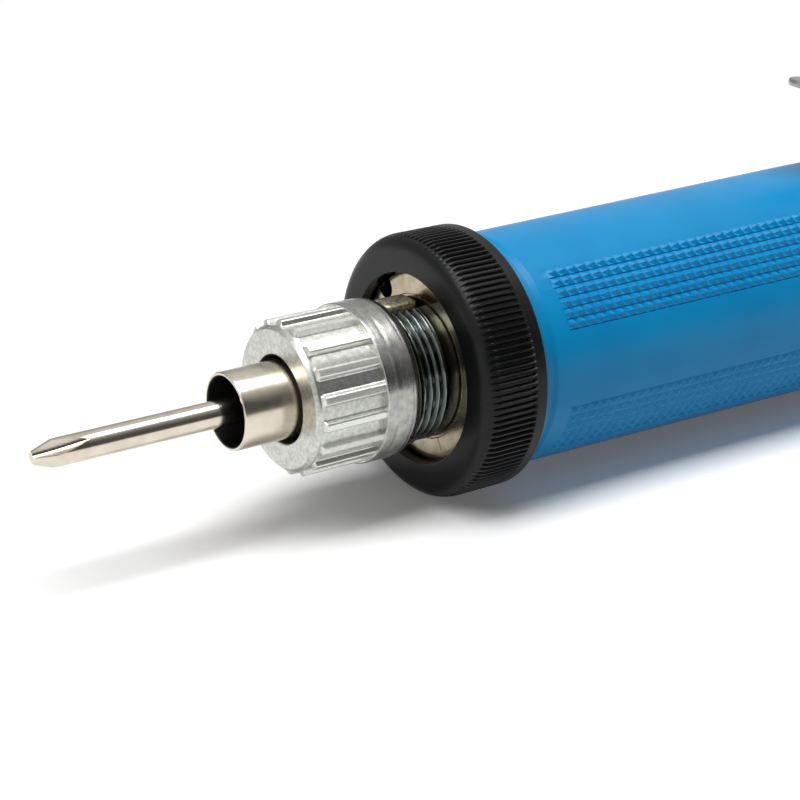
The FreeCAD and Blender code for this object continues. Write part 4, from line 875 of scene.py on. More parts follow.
@dataclass
class NoseHousing:
    """The nose: a slotted, screw-cut barrel on a flange, with the gear case behind."""

    axis: Axis
    barrel_r: float = 10.6
    bore: float = 9.0
    pitch: float = 1.25
    depth: float = 0.6
    crest: float = 0.22
    lead: float = 0.5
    lead_least: float = 0.2
    lead_drop: float = 0.3
    runout: float = 0.4
    slot_half: float = 2.5
    neck: float = -0.4
    sunk: float = 0.6
    flange_face: float = 1.8
    flange_r: float = 14.1
    flange_back: float = 3.2
    flange_edge: float = 0.2
    flange_soft: float = 0.06
    undercut: float = 0.25
    undercut_foot: tuple[float, float] = (-0.1, 0.03)
    groove: float = 0.3
    groove_slope: float = 0.15
    spigot_edge: float = 0.3
    case_front: float = 6.2
    case_r: float = 15.5
    case_bore: float = 14.0
    chamber: float = 6.8
    hole_at: float = 131.0
    hole_out: float = 13.2
    hole_r: float = 1.65
    hole_depth: float = 3.8
    hole_rows: tuple[float, float] = (0.4, 0.9)
    hole_beside: float = 0.05
    hole_columns: int = 25
    score_rows: tuple[float, float] = (0.6, 0.9)
    score_at: float = -63.0
    score_deg: float = 0.45
    score: float = 0.12
    pitch_rows: int = 16
    neck_rows: int = 9
    # Share of the crest colour on the plain neck: a painted highlight.
    neck_painted_highlight: float = 0.5
    barrel_columns: int = 71
    step_deg: float = 3.0
    slots: tuple[str, ...] = ("dark_steel", "faced_nickel", "blackened")

    def slot_edge(self, r: float) -> float:
        """Angle either side of a half's middle at which the slots' sides meet a radius."""
        return 90 - math.degrees(math.asin(self.slot_half / r))

    def barrel_half(self, middle: float) -> Patch:
        """Half of the barrel between the two slots: a helical V thread outside and a plain bore inside.

        The skin's radius falls from the crest by the thread's depth times a triangle wave of station /
        pitch plus angle / turn, held flat at the crests. The half ends where the slots' straight sides cut
        it.

        Args:
            middle: Angle of the half's middle.

        Returns:
            The closed surface.
        """
        first, _ = self.axis.span("nose_housing")
        s = np.concatenate([
            np.arange(first, self.neck, self.pitch / self.pitch_rows),
            np.linspace(self.neck, self.flange_face + self.sunk, self.neck_rows),
        ])[:, None]
        share = np.linspace(-1, 1, self.barrel_columns)
        outside, inside = (middle + share * self.slot_edge(r) for r in (self.barrel_r, self.bore))
        wave = np.clip(tent(s / self.pitch + outside / 360) * (1 + self.crest), 0, 1)
        fade = np.clip((self.neck - s) / self.runout, 0, 1)
        lead = np.clip((s - first) / self.lead, self.lead_least, 1)
        outer = self.barrel_r - self.depth * (1 - wave) * fade - self.lead_drop * (1 - lead)
        inner = np.full_like(outer, self.bore)
        points = np.concatenate([
            self.axis.place(s, outer, outside), self.axis.place(s, inner, inside)[::-1],
        ])
        rows, cols = points.shape[:2]
        index = np.arange(rows * cols).reshape(rows, cols)
        half = rows // 2
        low, high = (np.stack([index[:half, j], index[half:, j][::-1]]) for j in (0, -1))
        walls = np.vstack([index, index[:1]])
        quads = np.concatenate([strip(walls), strip(low), strip(high, flip=True)])
        # Thread crests take the crest colour, rubbed wear and painted highlight; the plain neck takes a
        # painted highlight.
        wear_and_highlight = np.vstack([np.where(fade > 0, wave**3, self.neck_painted_highlight), np.zeros_like(outer)]).ravel()
        none = np.zeros((0, 3), dtype=int)
        return Patch(points.reshape(-1, 3), quads, np.zeros(len(quads)), none, np.zeros(0), wear_and_highlight)

    def flange(self) -> Patch:
        """The flange and gear case: a turned section, bitten by the spanner hole and scored once.

        Within the hole's width the rim falls back to the hole's near side, d cos - sqrt(r^2 - (d sin)^2),
        and the floor behind it sinks to the hole's depth as far as its far side.

        Returns:
            The closed surface.
        """
        _, last = self.axis.span("nose_housing")
        spigot = self.axis.radius("nose_housing")
        face = self.flange_face
        back = self.flange_back
        low = face + self.undercut
        groove = self.barrel_r + self.groove
        edge, soft = self.flange_edge, self.flange_soft
        above, below = (self.barrel_r + set_off for set_off in self.undercut_foot)
        floor, clear = (self.flange_r + set_off for set_off in self.hole_rows)
        inmost, outmost = self.score_rows
        front = [
            (face, self.bore), (face, above), (low, below), (low, groove),
            (face, groove + self.groove_slope), (face, groove + inmost),
        ]
        rim = [
            (face, self.flange_r - outmost), (face, self.flange_r - edge),
            (face + soft, self.flange_r - soft), (face + edge, self.flange_r), (back, self.flange_r),
        ]
        behind = [
            (back, floor), (back, clear), (back, spigot - self.spigot_edge),
            (back + self.spigot_edge, spigot), (self.case_front, spigot), (self.case_front, self.case_r),
            (last, self.case_r), (last, self.case_bore), (self.chamber, self.case_bore),
            (self.chamber, self.bore),
        ]
        run = np.array(front + rim + behind)
        top = len(front)
        foot = top + len(rim) - 1
        widest = math.degrees(math.asin(self.hole_r / self.hole_out))
        hole = self.hole_at + widest * np.sin(np.linspace(-math.pi / 2, math.pi / 2, self.hole_columns))
        scored = self.score_at + self.score_deg * np.arange(-2, 3)
        beside = [self.hole_at + way * (widest + self.hole_beside) for way in (-1, 1)]
        deg = angles([*hole, *scored, *beside], self.step_deg)
        off = np.radians(deg - self.hole_at)
        bitten = np.abs(off) <= math.radians(widest) + NEAR
        reach = np.sqrt(np.maximum(0, self.hole_r**2 - (self.hole_out * np.sin(off)) ** 2))
        near = self.hole_out * np.cos(off) - reach
        far = self.hole_out * np.cos(off) + reach
        s, r = (np.repeat(column[:, None], len(deg), axis=1) for column in run.T)
        r[top:foot + 1] = np.where(bitten, np.minimum(r[top:foot + 1], near), r[top:foot + 1])
        s[foot:foot + 2] = np.where(bitten, face + self.hole_depth, s[foot:foot + 2])
        r[foot + 1] = np.where(bitten, np.maximum(far, near + HAIR), r[foot + 1])
        r[foot + 2] = np.where(bitten, np.maximum(far + self.hole_beside, r[foot + 2]), r[foot + 2])
        s[top - 2:foot - 1] += self.score * np.clip(1 - np.abs(deg - self.score_at) / self.score_deg, 0, 1)
        # The spanner hole's walls and floor take the blackened finish: painted shade in the hole.
        slots = np.ones(s.shape)
        slots[foot - 1:foot + 2] += bitten
        return grid(self.axis.place(s, r, deg), loop=True, slots=slots)

    def build(self, finishes: Finishes) -> None:
        """Build the nose in dark steel, with its flange in nickel and its spanner hole blackened as painted
        shade.
        """
        patch = join([self.barrel_half(0.0), self.barrel_half(180.0), self.flange()])
        finishes.make("nose_housing_turned", patch, "body", "nose_housing", *self.slots)


@dataclass
class CouplingRing:
    """The black ring that clamps the nose to the handle, with a straight knurl to grip."""

    axis: Axis
    opening: float = 14.45
    lip: float = 3.2
    bore: float = 17.0
    corner: float = 2.4
    edge: float = 0.25
    bore_edge: float = 0.2
    lip_round: float = 0.1
    knurls: int = 126
    knurl_depth: float = 0.5
    knurl_end: float = 8.7
    ridge_at: tuple[float, ...] = (0.14, 0.32, 0.4, 0.6, 0.68, 0.86)
    ridge_height: tuple[float, ...] = (0.0, 0.8, 1.0, 1.0, 0.8, 0.0)
    runout: float = 0.3
    step: float = 1.6

    def surface(self) -> Patch:
        """The ring: a turned section whose skin is held down to the knurl's grooves.

        Across each ridge the height is a trapezium with softened edges. The grooves run out on the front
        corner, where the corner lies deeper than they do, and end in a short slope before the rear band.

        Returns:
            The closed surface.
        """
        first, last = self.axis.span("coupling_ring")
        skin = self.axis.radius("coupling_ring")
        run = filled(rounded([
            (first, self.opening, self.edge), (first, skin, self.corner),
            (self.knurl_end - self.runout, skin, 0), (self.knurl_end, skin, 0), (last, skin, self.edge),
            (last, self.bore, self.bore_edge), (self.lip, self.bore, self.lip_round),
            (self.lip, self.opening, self.bore_edge),
        ], steps=10), self.step)
        s = run[:, :1]
        r = run[:, 1:]
        height = np.tile(self.ridge_height, self.knurls)
        pitch = 360 / self.knurls
        deg = (np.arange(self.knurls)[:, None] + np.array(self.ridge_at)).ravel() * pitch - 90
        cut = np.clip((self.knurl_end - s) / self.runout, 0, 1)
        radius = np.minimum(r, skin - self.knurl_depth * (1 - height) * cut)
        wear_and_highlight = np.where((r > skin - self.knurl_depth) & (cut > 0), height, 0.0)
        return grid(self.axis.place(s, radius, deg), loop=True, crest=wear_and_highlight)

    def build(self, finishes: Finishes) -> None:
        """Build the ring in black nylon."""
        finishes.make("coupling_ring_knurled", self.surface(), "body", "coupling_ring", "black_nylon")


@dataclass
class Handle:
    """The moulded handle: a slightly swelling tube with four panels of small pyramids."""

    axis: Axis
    spigot_r: float = 16.9
    neck_front: float = 10.7
    neck_r: float = 17.5
    neck_end: float = 13.8
    shoulder: tuple[float, float, float] = (-0.4, 0.3, 1.6)
    front_r: float = 17.9
    taper: float = 66.0
    bore: float = 15.6
    bore_round: float = 0.3
    root_round: float = 0.1
    neck_round: float = 0.3
    shoulder_round: float = 0.8
    end_round: float = 0.5
    end_set: float = 1.0
    panel_start: float = 17.0
    panel_end: float = 110.7
    panel_edge: float = 0.15
    recess: float = 0.3
    panels: tuple[tuple[float, float, float], ...] = ((23.5, 23.95, 57.0), (-48.0, -46.6, -13.0))
    shallow: float = 0.03
    rows: int = 6
    row_deg: float = 5.3
    row_gap: float = 0.08
    row_step: float = 0.16
    cell: float = 1.82
    height: float = 0.58
    low_height: float = 0.36
    blunt: float = 0.06
    plunger_at: float = 124.0
    plunger_half: float = 3.3
    plunger_side: float = 90.0
    plunger_deg: float = 10.2
    rocker_at: float = 134.0
    rocker_half: float = 5.5
    rocker_side: float = 0.0
    rocker_deg: float = 11.0
    step_deg: float = 3.0

    def cell_count(self) -> int:
        """How many cells fit along a panel."""
        return int((self.panel_end - self.panel_start - self.panel_edge) / self.cell)

    def cell_marks(self, count: int, gap: float = 0.0) -> np.ndarray:
        """Edges, feet and blunt tops of a run of cells, in cells from its start.

        Args:
            count: How many cells.
            gap: Flat share between one cell and the next.

        Returns:
            The marks in order.
        """
        blunt = self.blunt * (1 - gap) / 2
        marks = np.unique([0.0, gap / 2, 0.5 - blunt, 0.5 + blunt, 1 - gap / 2])
        return np.append((np.arange(count)[:, None] + marks[marks < 1]).ravel(), count)

    def panel_angles(self) -> list[np.ndarray]:
        """Angles of the lines of each panel: its skin edge, its rows of cells, and its other skin edge.

        Returns:
            One array for each panel, the near side's first and then their mirror on the far side.
        """
        near = [
            np.concatenate([[low], first + self.row_deg * self.cell_marks(self.rows, self.row_gap), [high]])
            for low, first, high in self.panels
        ]
        return near + [np.sort(180 - lines) for lines in near]

    def profile(self) -> tuple[np.ndarray, np.ndarray]:
        """The handle's wall section as a closed run, outside first.

        Returns:
            Stations and radii.
        """
        first, last = self.axis.span("handle")
        grip = self.axis.radius("handle")
        foot, top, clear = (self.neck_end + set_off for set_off in self.shoulder)
        neck = rounded([
            (first, self.spigot_r, 0), (self.neck_front, self.spigot_r, self.root_round),
            (self.neck_front, self.neck_r, self.neck_round), (foot, self.neck_r, self.shoulder_round),
            (top, self.front_r, self.shoulder_round), (clear, self.front_r, 0),
        ])
        cells = self.panel_start + self.panel_edge + self.cell * self.cell_marks(self.cell_count())
        holes = np.array([
            self.plunger_at - self.plunger_half, self.plunger_at + self.plunger_half,
            self.rocker_at - self.rocker_half, self.rocker_at + self.rocker_half,
        ])
        near_end = last - self.end_set
        grip_s = np.concatenate([[self.panel_start], cells, [self.panel_end], holes, [near_end]])
        grip_r = self.front_r + (grip - self.front_r) * np.clip((grip_s - self.neck_end) / self.taper, 0, 1)
        end = rounded([
            (near_end, grip, 0), (last, grip, self.end_round), (last, self.bore, self.bore_round),
            (near_end, self.bore, 0),
        ])[1:]
        inner_s = np.concatenate([holes[::-1], [self.panel_end, self.panel_start, first]])
        s = np.concatenate([neck[:, 0], grip_s, end[:, 0], inner_s])
        r = np.concatenate([neck[:, 1], grip_r, end[:, 1], np.full(len(inner_s), self.bore)])
        return s, r

    def relief(self, s: np.ndarray, deg: np.ndarray) -> np.ndarray:
        """Height of the skin over the plain handle: sunk beds with a blunt pyramid on each cell.

        A pyramid's height is the lower of two clipped tents, one along the handle and one round it. In the
        upper panels each row also slopes like a roof tile, its lower edge a step proud of the row below,
        with the step's face in the narrow strip between rows, and the bed deepens from its top edge to its
        lower edge.

        Args:
            s: Stations as a column.
            deg: Angles as a row.

        Returns:
            Heights in mm.
        """
        along = (s - self.panel_start - self.panel_edge) / self.cell
        on_bed = (along > -NEAR) & (along < self.cell_count() + NEAR)
        rise_s = np.minimum(1, tent(np.round(along, CELL_PLACES)) / (1 - self.blunt))
        total = np.zeros(np.broadcast_shapes(s.shape, deg.shape))
        for lines in self.panel_angles():
            row = np.round((deg - lines[1]) / self.row_deg, ANGLE_PLACES)
            bed = on_bed & (row >= 0) & (row <= self.rows)
            steep = (tent(row) - self.row_gap) / (1 - self.row_gap)
            rise = np.minimum(rise_s, np.clip(steep / (1 - self.blunt), 0, 1))
            edges = np.sin(np.radians(lines[[1, -2]]))
            upper = edges.min() > 0
            climb = (np.sin(np.radians(deg)) - edges.min()) / np.ptp(edges) if upper else 0
            depth = self.recess + (self.shallow - self.recess) * climb
            share = np.mod(row, 1)
            share = 1 - share if lines.mean() > 90 else share
            tile = np.interp(share, [0, self.row_gap / 2, 1 - self.row_gap / 2, 1], [0, 1, 0, 0])
            tall, step = (self.height, self.row_step) if upper else (self.low_height, 0)
            total = np.where(bed, tall * rise + step * tile - depth, total)
        return total

    def window(
        self, index: np.ndarray, s: np.ndarray, deg: np.ndarray, hole: tuple[float, float, float, float],
    ) -> tuple[np.ndarray, np.ndarray]:
        """Open a hole through the wall.

        Args:
            index: Grid of point numbers, closed both ways.
            s: Stations of the rows.
            deg: Angles of the columns.
            hole: Station, half length, angle and half angle.

        Returns:
            Which faces of the grid to drop, and the quads of the hole's four sides.
        """
        at, half, middle, spread = hole
        first = np.flatnonzero(np.isclose(s, at - half))
        last = np.flatnonzero(np.isclose(s, at + half))
        j0, j1 = (int(np.argmin(np.abs(deg - edge))) for edge in (middle - spread, middle + spread))
        drop = np.zeros((len(s), len(deg)), dtype=bool)
        drop[first[0]:last[0], j0:j1] = True
        drop[last[1]:first[1], j0:j1] = True
        outer = np.arange(first[0], last[0] + 1)
        inner = np.arange(last[1], first[1] + 1)[::-1]
        sides = [
            strip(index[first, j0:j1 + 1]), strip(index[last, j0:j1 + 1], flip=True),
            strip(np.stack([index[outer, j0], index[inner, j0]], axis=1), flip=True),
            strip(np.stack([index[outer, j1], index[inner, j1]], axis=1)),
        ]
        return drop, np.concatenate(sides)

    def surface(self) -> Patch:
        """The handle: its wall section turned about the axis, with the panels' relief and the two holes.

        A cell's corner faces are split along the line from the cell's corner to its top, so that each side
        of a pyramid is flat.

        Returns:
            The closed surface.
        """
        s, r = self.profile()
        holes = [
            (self.plunger_at, self.plunger_half, self.plunger_side, self.plunger_deg),
            (self.rocker_at, self.rocker_half, self.rocker_side, self.rocker_deg),
        ]
        sides = [middle + way * spread for _, _, middle, spread in holes for way in (-1, 1)]
        deg = angles([*np.concatenate(self.panel_angles()), *sides], self.step_deg)
        outside = (r > (self.bore + self.spigot_r) / 2)[:, None]
        lift = np.where(outside, self.relief(s[:, None], deg), 0)
        points = self.axis.place(s[:, None], r[:, None] + lift, deg)
        index = numbers(len(s), len(deg), loop=True)
        quads = grid_quads(index)
        drops, walls = zip(*(self.window(index, s, deg, hole) for hole in holes))
        kept = ~np.logical_or(*drops)
        a, b, c, d = np.moveaxis(grid_quads(np.pad(lift, (0, 1), mode="wrap")), -1, 0)
        folded = np.abs(a + c - b - d) > NEAR
        level = np.abs(b - d) < NEAR
        plain = np.concatenate([quads[kept & ~folded], *walls])
        along = quads[kept & folded & level]
        other = quads[kept & folded & ~level]
        tris = np.concatenate([
            along[:, [0, 1, 2]], along[:, [0, 2, 3]], other[:, [0, 1, 3]], other[:, [1, 2, 3]],
        ])
        crest = np.clip(lift / (self.height - self.recess), 0, 1).ravel()
        return Patch(points.reshape(-1, 3), plain, np.zeros(len(plain)), tris, np.zeros(len(tris)), crest)

    def build(self, finishes: Finishes) -> None:
        """Build the handle in blue ABS."""
        finishes.make("handle_moulding", self.surface(), "body", "handle", "blue_abs", sharp=24)


@dataclass
class StartLever:
    """The start lever: a pressed strip with a round tip, rolled round its pin."""

    axis: Axis
    reach: float = 62.0
    rise: float = 10.5
    thickness: float = 1.2
    offset: float = 1.5
    edge: float = 0.4
    knuckle_r: float = 2.3
    knuckle_edge: float = 0.3
    pin_r: float = 1.05
    pin_edge: float = 0.1
    edge_steps: int = 9
    tip_steps: int = 33
    knuckle_around: int = 48

    def slope(self) -> float:
        """The strip's slope at rest, in radians."""
        return math.atan2(self.rise - self.offset, self.reach)

    def set_up(self, local: np.ndarray) -> np.ndarray:
        """Put points about the pin, turned up by the lever's slope.

        Args:
            local: Points in mm along, across and above a level strip.

        Returns:
            The points in metres.
        """
        low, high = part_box("lever_pin")
        cos, sin = math.cos(self.slope()), math.sin(self.slope())
        turned = np.array([[cos, 0, -sin], [0, 1, 0], [sin, 0, cos]])
        return MM * (local @ turned) + np.array((low + high) / 2)

    def surface(self) -> Patch:
        """The strip as layers of its plan drawn in at both faces, and the knuckle as a tube across.

        Returns:
            The two closed surfaces.
        """
        half = self.axis.radius("start_lever")
        length = self.reach / math.cos(self.slope())
        turn = np.linspace(-math.pi / 2, math.pi / 2, self.edge_steps)[:, None]
        draw = self.edge * (1 - np.cos(turn))
        up = self.offset + np.sign(turn) * (self.thickness / 2 - self.edge) + self.edge * np.sin(turn)
        arc = np.linspace(math.pi / 2, 3 * math.pi / 2, self.tip_steps)
        x = np.hstack([half - length + (half - draw) * np.cos(arc), np.zeros((len(turn), 2))])
        y = np.hstack([(half - draw) * np.sin(arc), draw - half, half - draw])
        level = np.stack(np.broadcast_arrays(x, y, up), axis=-1)[:, ::-1]
        middle = (half - length) / 2
        ends = [
            self.set_up(np.array([middle, 0, self.offset + way * self.thickness / 2])) for way in (-1, 1)
        ]
        tube = rounded([
            (-half, self.pin_r, self.pin_edge), (-half, self.knuckle_r, self.knuckle_edge),
            (half, self.knuckle_r, self.knuckle_edge), (half, self.pin_r, self.pin_edge),
        ])
        spin = np.linspace(0, 2 * math.pi, self.knuckle_around, endpoint=False)
        sides = tube[:, 1:] * np.sin(spin), tube[:, :1], tube[:, 1:] * np.cos(spin)
        knuckle = np.stack(np.broadcast_arrays(*sides), axis=-1)
        return join([
            grid(self.set_up(level), ends=ends),
            grid(self.set_up(knuckle), loop=True),
        ])

    def build(self, finishes: Finishes) -> None:
        """Build the lever in stainless strip."""
        finishes.make("start_lever_strip", self.surface(), "start_lever", "start_lever", "lever_steel")


@dataclass
class RockerSwitch:
    """The direction rocker: a red dished pad in a black bezel on the near side."""

    axis: Axis
    at: float = 134.0
    skin: float = 18.6
    pad_length: float = 4.2
    pad_height: float = 2.2
    pad_corner: float = 0.5
    pad_out: float = 0.9
    pad_draw: tuple[float, ...] = (1.0, 0.93, 0.92, 0.88, 0.75, 0.56, 0.38, 0.2)
    pad_below: tuple[float, ...] = (4.4, 0.25, 0.08, 0.0, 0.0, 0.0, 0.0, 0.0)
    tilt: float = 8.0
    well_length: float = 4.5
    well_height: float = 2.5
    well_depth: float = 4.5
    wall: float = 1.6
    body_depth: float = 9.0
    lip: float = 1.2
    lip_depth: float = 1.4
    bezel: float = 0.7
    edge: float = 0.3
    edge_soft: float = 0.09
    body_corner: float = 0.4
    lip_corners: tuple[float, float, float] = (1.6, 1.5, 1.3)
    well_corners: tuple[float, float] = (0.8, 0.5)

    def housing(self) -> Patch:
        """The body, its bezel and the well inside it, as layers of round-cornered plans.

        Each layer is a half length, a half height, a corner radius and a distance out, from the body's back
        to the well's floor.

        Returns:
            The closed surface.
        """
        well_l, well_h = self.well_length, self.well_height
        body_l, body_h = well_l + self.wall, well_h + self.wall
        lip_l, lip_h = body_l + self.lip, body_h + self.lip
        top = self.skin + self.bezel
        under = self.skin - self.lip_depth
        back = self.skin - self.body_depth
        floor = self.skin - self.well_depth - self.wall
        edge, soft = self.edge, self.edge_soft
        lip_side, lip_soft, lip_top = self.lip_corners
        mouth, well = self.well_corners
        layers = [
            (body_l, body_h, self.body_corner, back), (body_l, body_h, self.body_corner, under),
            (lip_l, lip_h, lip_side, under), (lip_l, lip_h, lip_side, top - edge),
            (lip_l - soft, lip_h - soft, lip_soft, top - soft), (lip_l - edge, lip_h - edge, lip_top, top),
            (well_l + edge, well_h + edge, mouth, top), (well_l, well_h, well, top - edge),
            (well_l, well_h, well, floor),
        ]
        outlines = [(plan(*sizes), out) for *sizes, out in layers]
        rows = [self.axis.at(self.at + outline[:, 0], -out, outline[:, 1]) for outline, out in outlines]
        ends = [self.axis.at(self.at, -out, 0.0) for out in (back, floor)]
        return grid(np.stack(rows), ends=ends)

    def pad(self) -> Patch:
        """The pad: drafted sides that clear the well as it tilts, then a dished face, an arc along the tool.

        Returns:
            The closed surface.
        """
        out = self.skin + self.pad_out
        tilt = math.radians(self.tilt)
        radius = self.pad_length / math.sin(tilt)
        draw = np.array(self.pad_draw)[:, None]
        below = np.array(self.pad_below)[:, None]
        outline = plan(self.pad_length, self.pad_height, self.pad_corner)
        x = outline[:, 0] * draw
        dish = np.sqrt(radius**2 - x**2) - radius * math.cos(tilt)
        depth = np.where(below > 1, below, below + dish)
        rows = self.axis.at(self.at + x, depth - out, outline[:, 1] * draw)
        deep = radius * (1 - math.cos(tilt))
        ends = [self.axis.at(self.at, depth - out, 0.0) for depth in (self.pad_below[0], deep)]
        return grid(rows, ends=ends)

    def build(self, finishes: Finishes) -> None:
        """Build the housing in black and the pad in red."""
        finishes.make("rocker_bezel", self.housing(), "body", "rocker_housing", "black_nylon")
        finishes.make("rocker_pad", self.pad(), "rocker", "rocker", "rocker_red")


@dataclass
class Tail:
    """The tail: the octagonal rear cap, the lead's inlet and the hanging bail."""

    axis: Axis
    corner: float = 3.0
    front_edge: float = 0.5
    rear_edge: float = 1.2
    spigot_r: float = 15.58
    spigot_bore: float = 13.58
    cap_wall: float = 4.0
    cap_edge_steps: int = 5
    cap_around: int = 240
    inlet_r: float = 6.0
    inlet_wall: float = 1.2
    inlet_flange: float = 2.0
    inlet_flange_r: float = 8.5
    inlet_flange_rounds: tuple[float, float] = (0.3, 0.5)
    inlet_flange_lap: float = 0.5
    inlet_root: float = 0.1
    inlet_edge: float = 0.2
    inlet_mouth: float = 0.5
    inlet_pitch: float = 1.0
    inlet_thread: float = 0.3
    inlet_land: float = 0.6
    inlet_around: int = 96
    wire_r: float = 1.25
    wire_around: int = 24
    bail_reach: float = 34.0
    bail_hook: float = 4.0
    bail_bend: float = 1.65
    bail_corner: float = 8.0
    bail_step: float = 3.0

    def cap(self) -> Patch:
        """The cap: rows of octagons outside, drawn in at both edges, and of circles inside.

        Returns:
            The closed surface.
        """
        spigot, rear = self.axis.span("rear_cap")
        _, front = self.axis.span("handle")
        flat = self.axis.radius("rear_cap")
        deg = even(self.cap_around)
        turn = np.linspace(0, math.pi / 2, self.cap_edge_steps)
        draw, on = 1 - np.cos(turn), 1 - np.sin(turn)
        outside = np.concatenate([
            np.stack([front + self.front_edge * on, self.front_edge * draw], axis=1)[::-1],
            np.stack([rear - self.rear_edge * on, self.rear_edge * draw], axis=1),
        ])
        hole = self.inlet_r + HAIR
        floor = rear - self.cap_wall
        inside = np.array([
            (rear, self.inlet_flange_r - self.inlet_flange_lap), (rear, hole), (floor, hole),
            (floor, self.spigot_bore), (spigot, self.spigot_bore), (spigot, self.spigot_r),
            (front, self.spigot_r),
        ])
        outer = octagon(deg, flat - outside[:, 1:], self.corner)
        inner = np.repeat(inside[:, 1:], len(deg), axis=1)
        s = np.concatenate([outside, inside])[:, :1]
        return grid(self.axis.place(s, np.vstack([outer, inner]), deg), loop=True)

    def inlet(self) -> Patch:
        """The inlet's shell: a turned section with a fine thread outside, a triangle wave of the station.

        Returns:
            The closed surface.
        """
        first, last = self.axis.span("inlet_shell")
        _, seat = self.axis.span("rear_cap")
        bore = self.inlet_r - self.inlet_wall
        step = seat + self.inlet_flange
        land = self.inlet_land
        seat_round, step_round = self.inlet_flange_rounds
        run = filled(rounded([
            (first, bore, 0), (first, self.inlet_r, self.inlet_edge), (seat, self.inlet_r, 0),
            (seat, self.inlet_flange_r, seat_round), (step, self.inlet_flange_r, step_round),
            (step, self.inlet_r, self.inlet_root), (last, self.inlet_r, self.inlet_mouth),
            (last, bore, self.inlet_edge),
        ]), self.inlet_pitch / 4)
        s, r = run.T
        threaded = (s > step + land) & (s < last - land) & (r > bore + self.inlet_wall / 2)
        cut = np.where(threaded, self.inlet_thread * tent(s / self.inlet_pitch), 0)
        return grid(self.axis.turned(np.stack([s, r - cut], axis=1), self.inlet_around), loop=True)

    def bail(self) -> Patch:
        """The bail: a round wire carried along a bent path in one plane, hung from the cap's two sides.

        Returns:
            The closed surface.
        """
        _, rear = self.axis.span("rear_cap")
        _, front = self.axis.span("handle")
        _, tail = self.axis.span("bail")
        pivot = (front + rear) / 2
        leg = self.axis.radius("bail") - self.wire_r
        inside = self.axis.radius("rear_cap") - self.bail_hook
        droop = math.acos((tail - pivot - self.wire_r) / self.bail_reach)
        path = rounded([
            (0, -inside, 0), (0, -leg, self.bail_bend), (self.bail_reach, -leg, self.bail_corner),
            (self.bail_reach, leg, self.bail_corner), (0, leg, self.bail_bend), (0, inside, 0),
        ], steps=12)
        path = filled(path, self.bail_step, closed=False)
        ahead = unit(np.gradient(path, axis=0))
        spin = np.linspace(0, 2 * math.pi, self.wire_around, endpoint=False)
        along = path[:, :1] + self.wire_r * np.cos(spin) * ahead[:, 1:]
        across = path[:, 1:] - self.wire_r * np.cos(spin) * ahead[:, :1]
        proud = self.wire_r * np.sin(spin)
        s = pivot + along * math.cos(droop) + proud * math.sin(droop)
        z = proud * math.cos(droop) - along * math.sin(droop)
        ends = [self.axis.at(pivot, y, 0.0) for y in (-inside, inside)]
        return grid(self.axis.at(s, across, z), ends=ends)

    def build(self, finishes: Finishes) -> None:
        """Build the cap in black nylon, the inlet's shell in nickel and the bail in steel.

        Args:
            finishes: The finishes to dress them in.
        """
        finishes.make("rear_cap_moulding", self.cap(), "body", "rear_cap", "black_nylon")
        finishes.make("inlet_shell_threaded", self.inlet(), "body", "inlet_shell", "champagne_nickel")
        finishes.make("bail_wire", self.bail(), "bail", "bail", "lever_steel")


@dataclass
class Spring:
    """A coil spring of round wire between the piece it pushes and the piece it stands on."""

    node: str
    pushes: str
    stands_on: str
    wire: float
    upright: bool = False
    turns: int = 4
    along: int = 32
    around: int = 10

    def build(self, finishes: Finishes) -> None:
        """Carry a circle of the wire's size along a helix, close its ends, and dress it in drawn wire.

        At a share of a turn and an angle u round the wire, a point lies at the helix's radius + w cos u out
        from the spring's middle line, and at the helix's rise + w sin u along it.

        Args:
            finishes: The finishes to dress it in.
        """
        low, high = (np.array(corner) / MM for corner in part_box(self.node))
        middle = (low + high) / 2
        up = 2 if self.upright else 0
        half = self.wire / 2
        mean = (high[1] - low[1]) / 2 - half
        turn = np.linspace(0, self.turns, self.turns * self.along + 1)[:, None]
        u = np.linspace(0, 2 * np.pi, self.around, endpoint=False)
        rise = half + (high[up] - low[up] - self.wire) * turn / self.turns
        ways = np.arange(3)
        foot = np.select([ways == up, ways == 1], [low, 0.0], middle)

        def place(out: np.ndarray, on: np.ndarray) -> np.ndarray:
            """Put points on the helix.

            Args:
                out: Distance out from the spring's middle line, for each turn.
                on: Distance along it.

            Returns:
                The points in metres.
            """
            across = out * np.cos(2 * np.pi * turn), out * np.sin(2 * np.pi * turn)
            local = np.stack(np.broadcast_arrays(on, *across), axis=-1)
            return MM * (foot + np.roll(local, up, axis=-1))

        ends = [*place(mean, rise)[[0, -1], 0]]
        coil = grid(place(mean + half * np.cos(u), rise + half * np.sin(u)), ends=ends)
        sides = (high, low) if self.upright else (low, high)
        near, far = (MM * np.where(ways == up, side, middle) for side in sides)
        finishes.make(
            f"{self.node}_coil", coil, self.pushes, self.node, "spring_steel",
            stretch=(self.stands_on, near, far),
        )


# Floor, light and camera

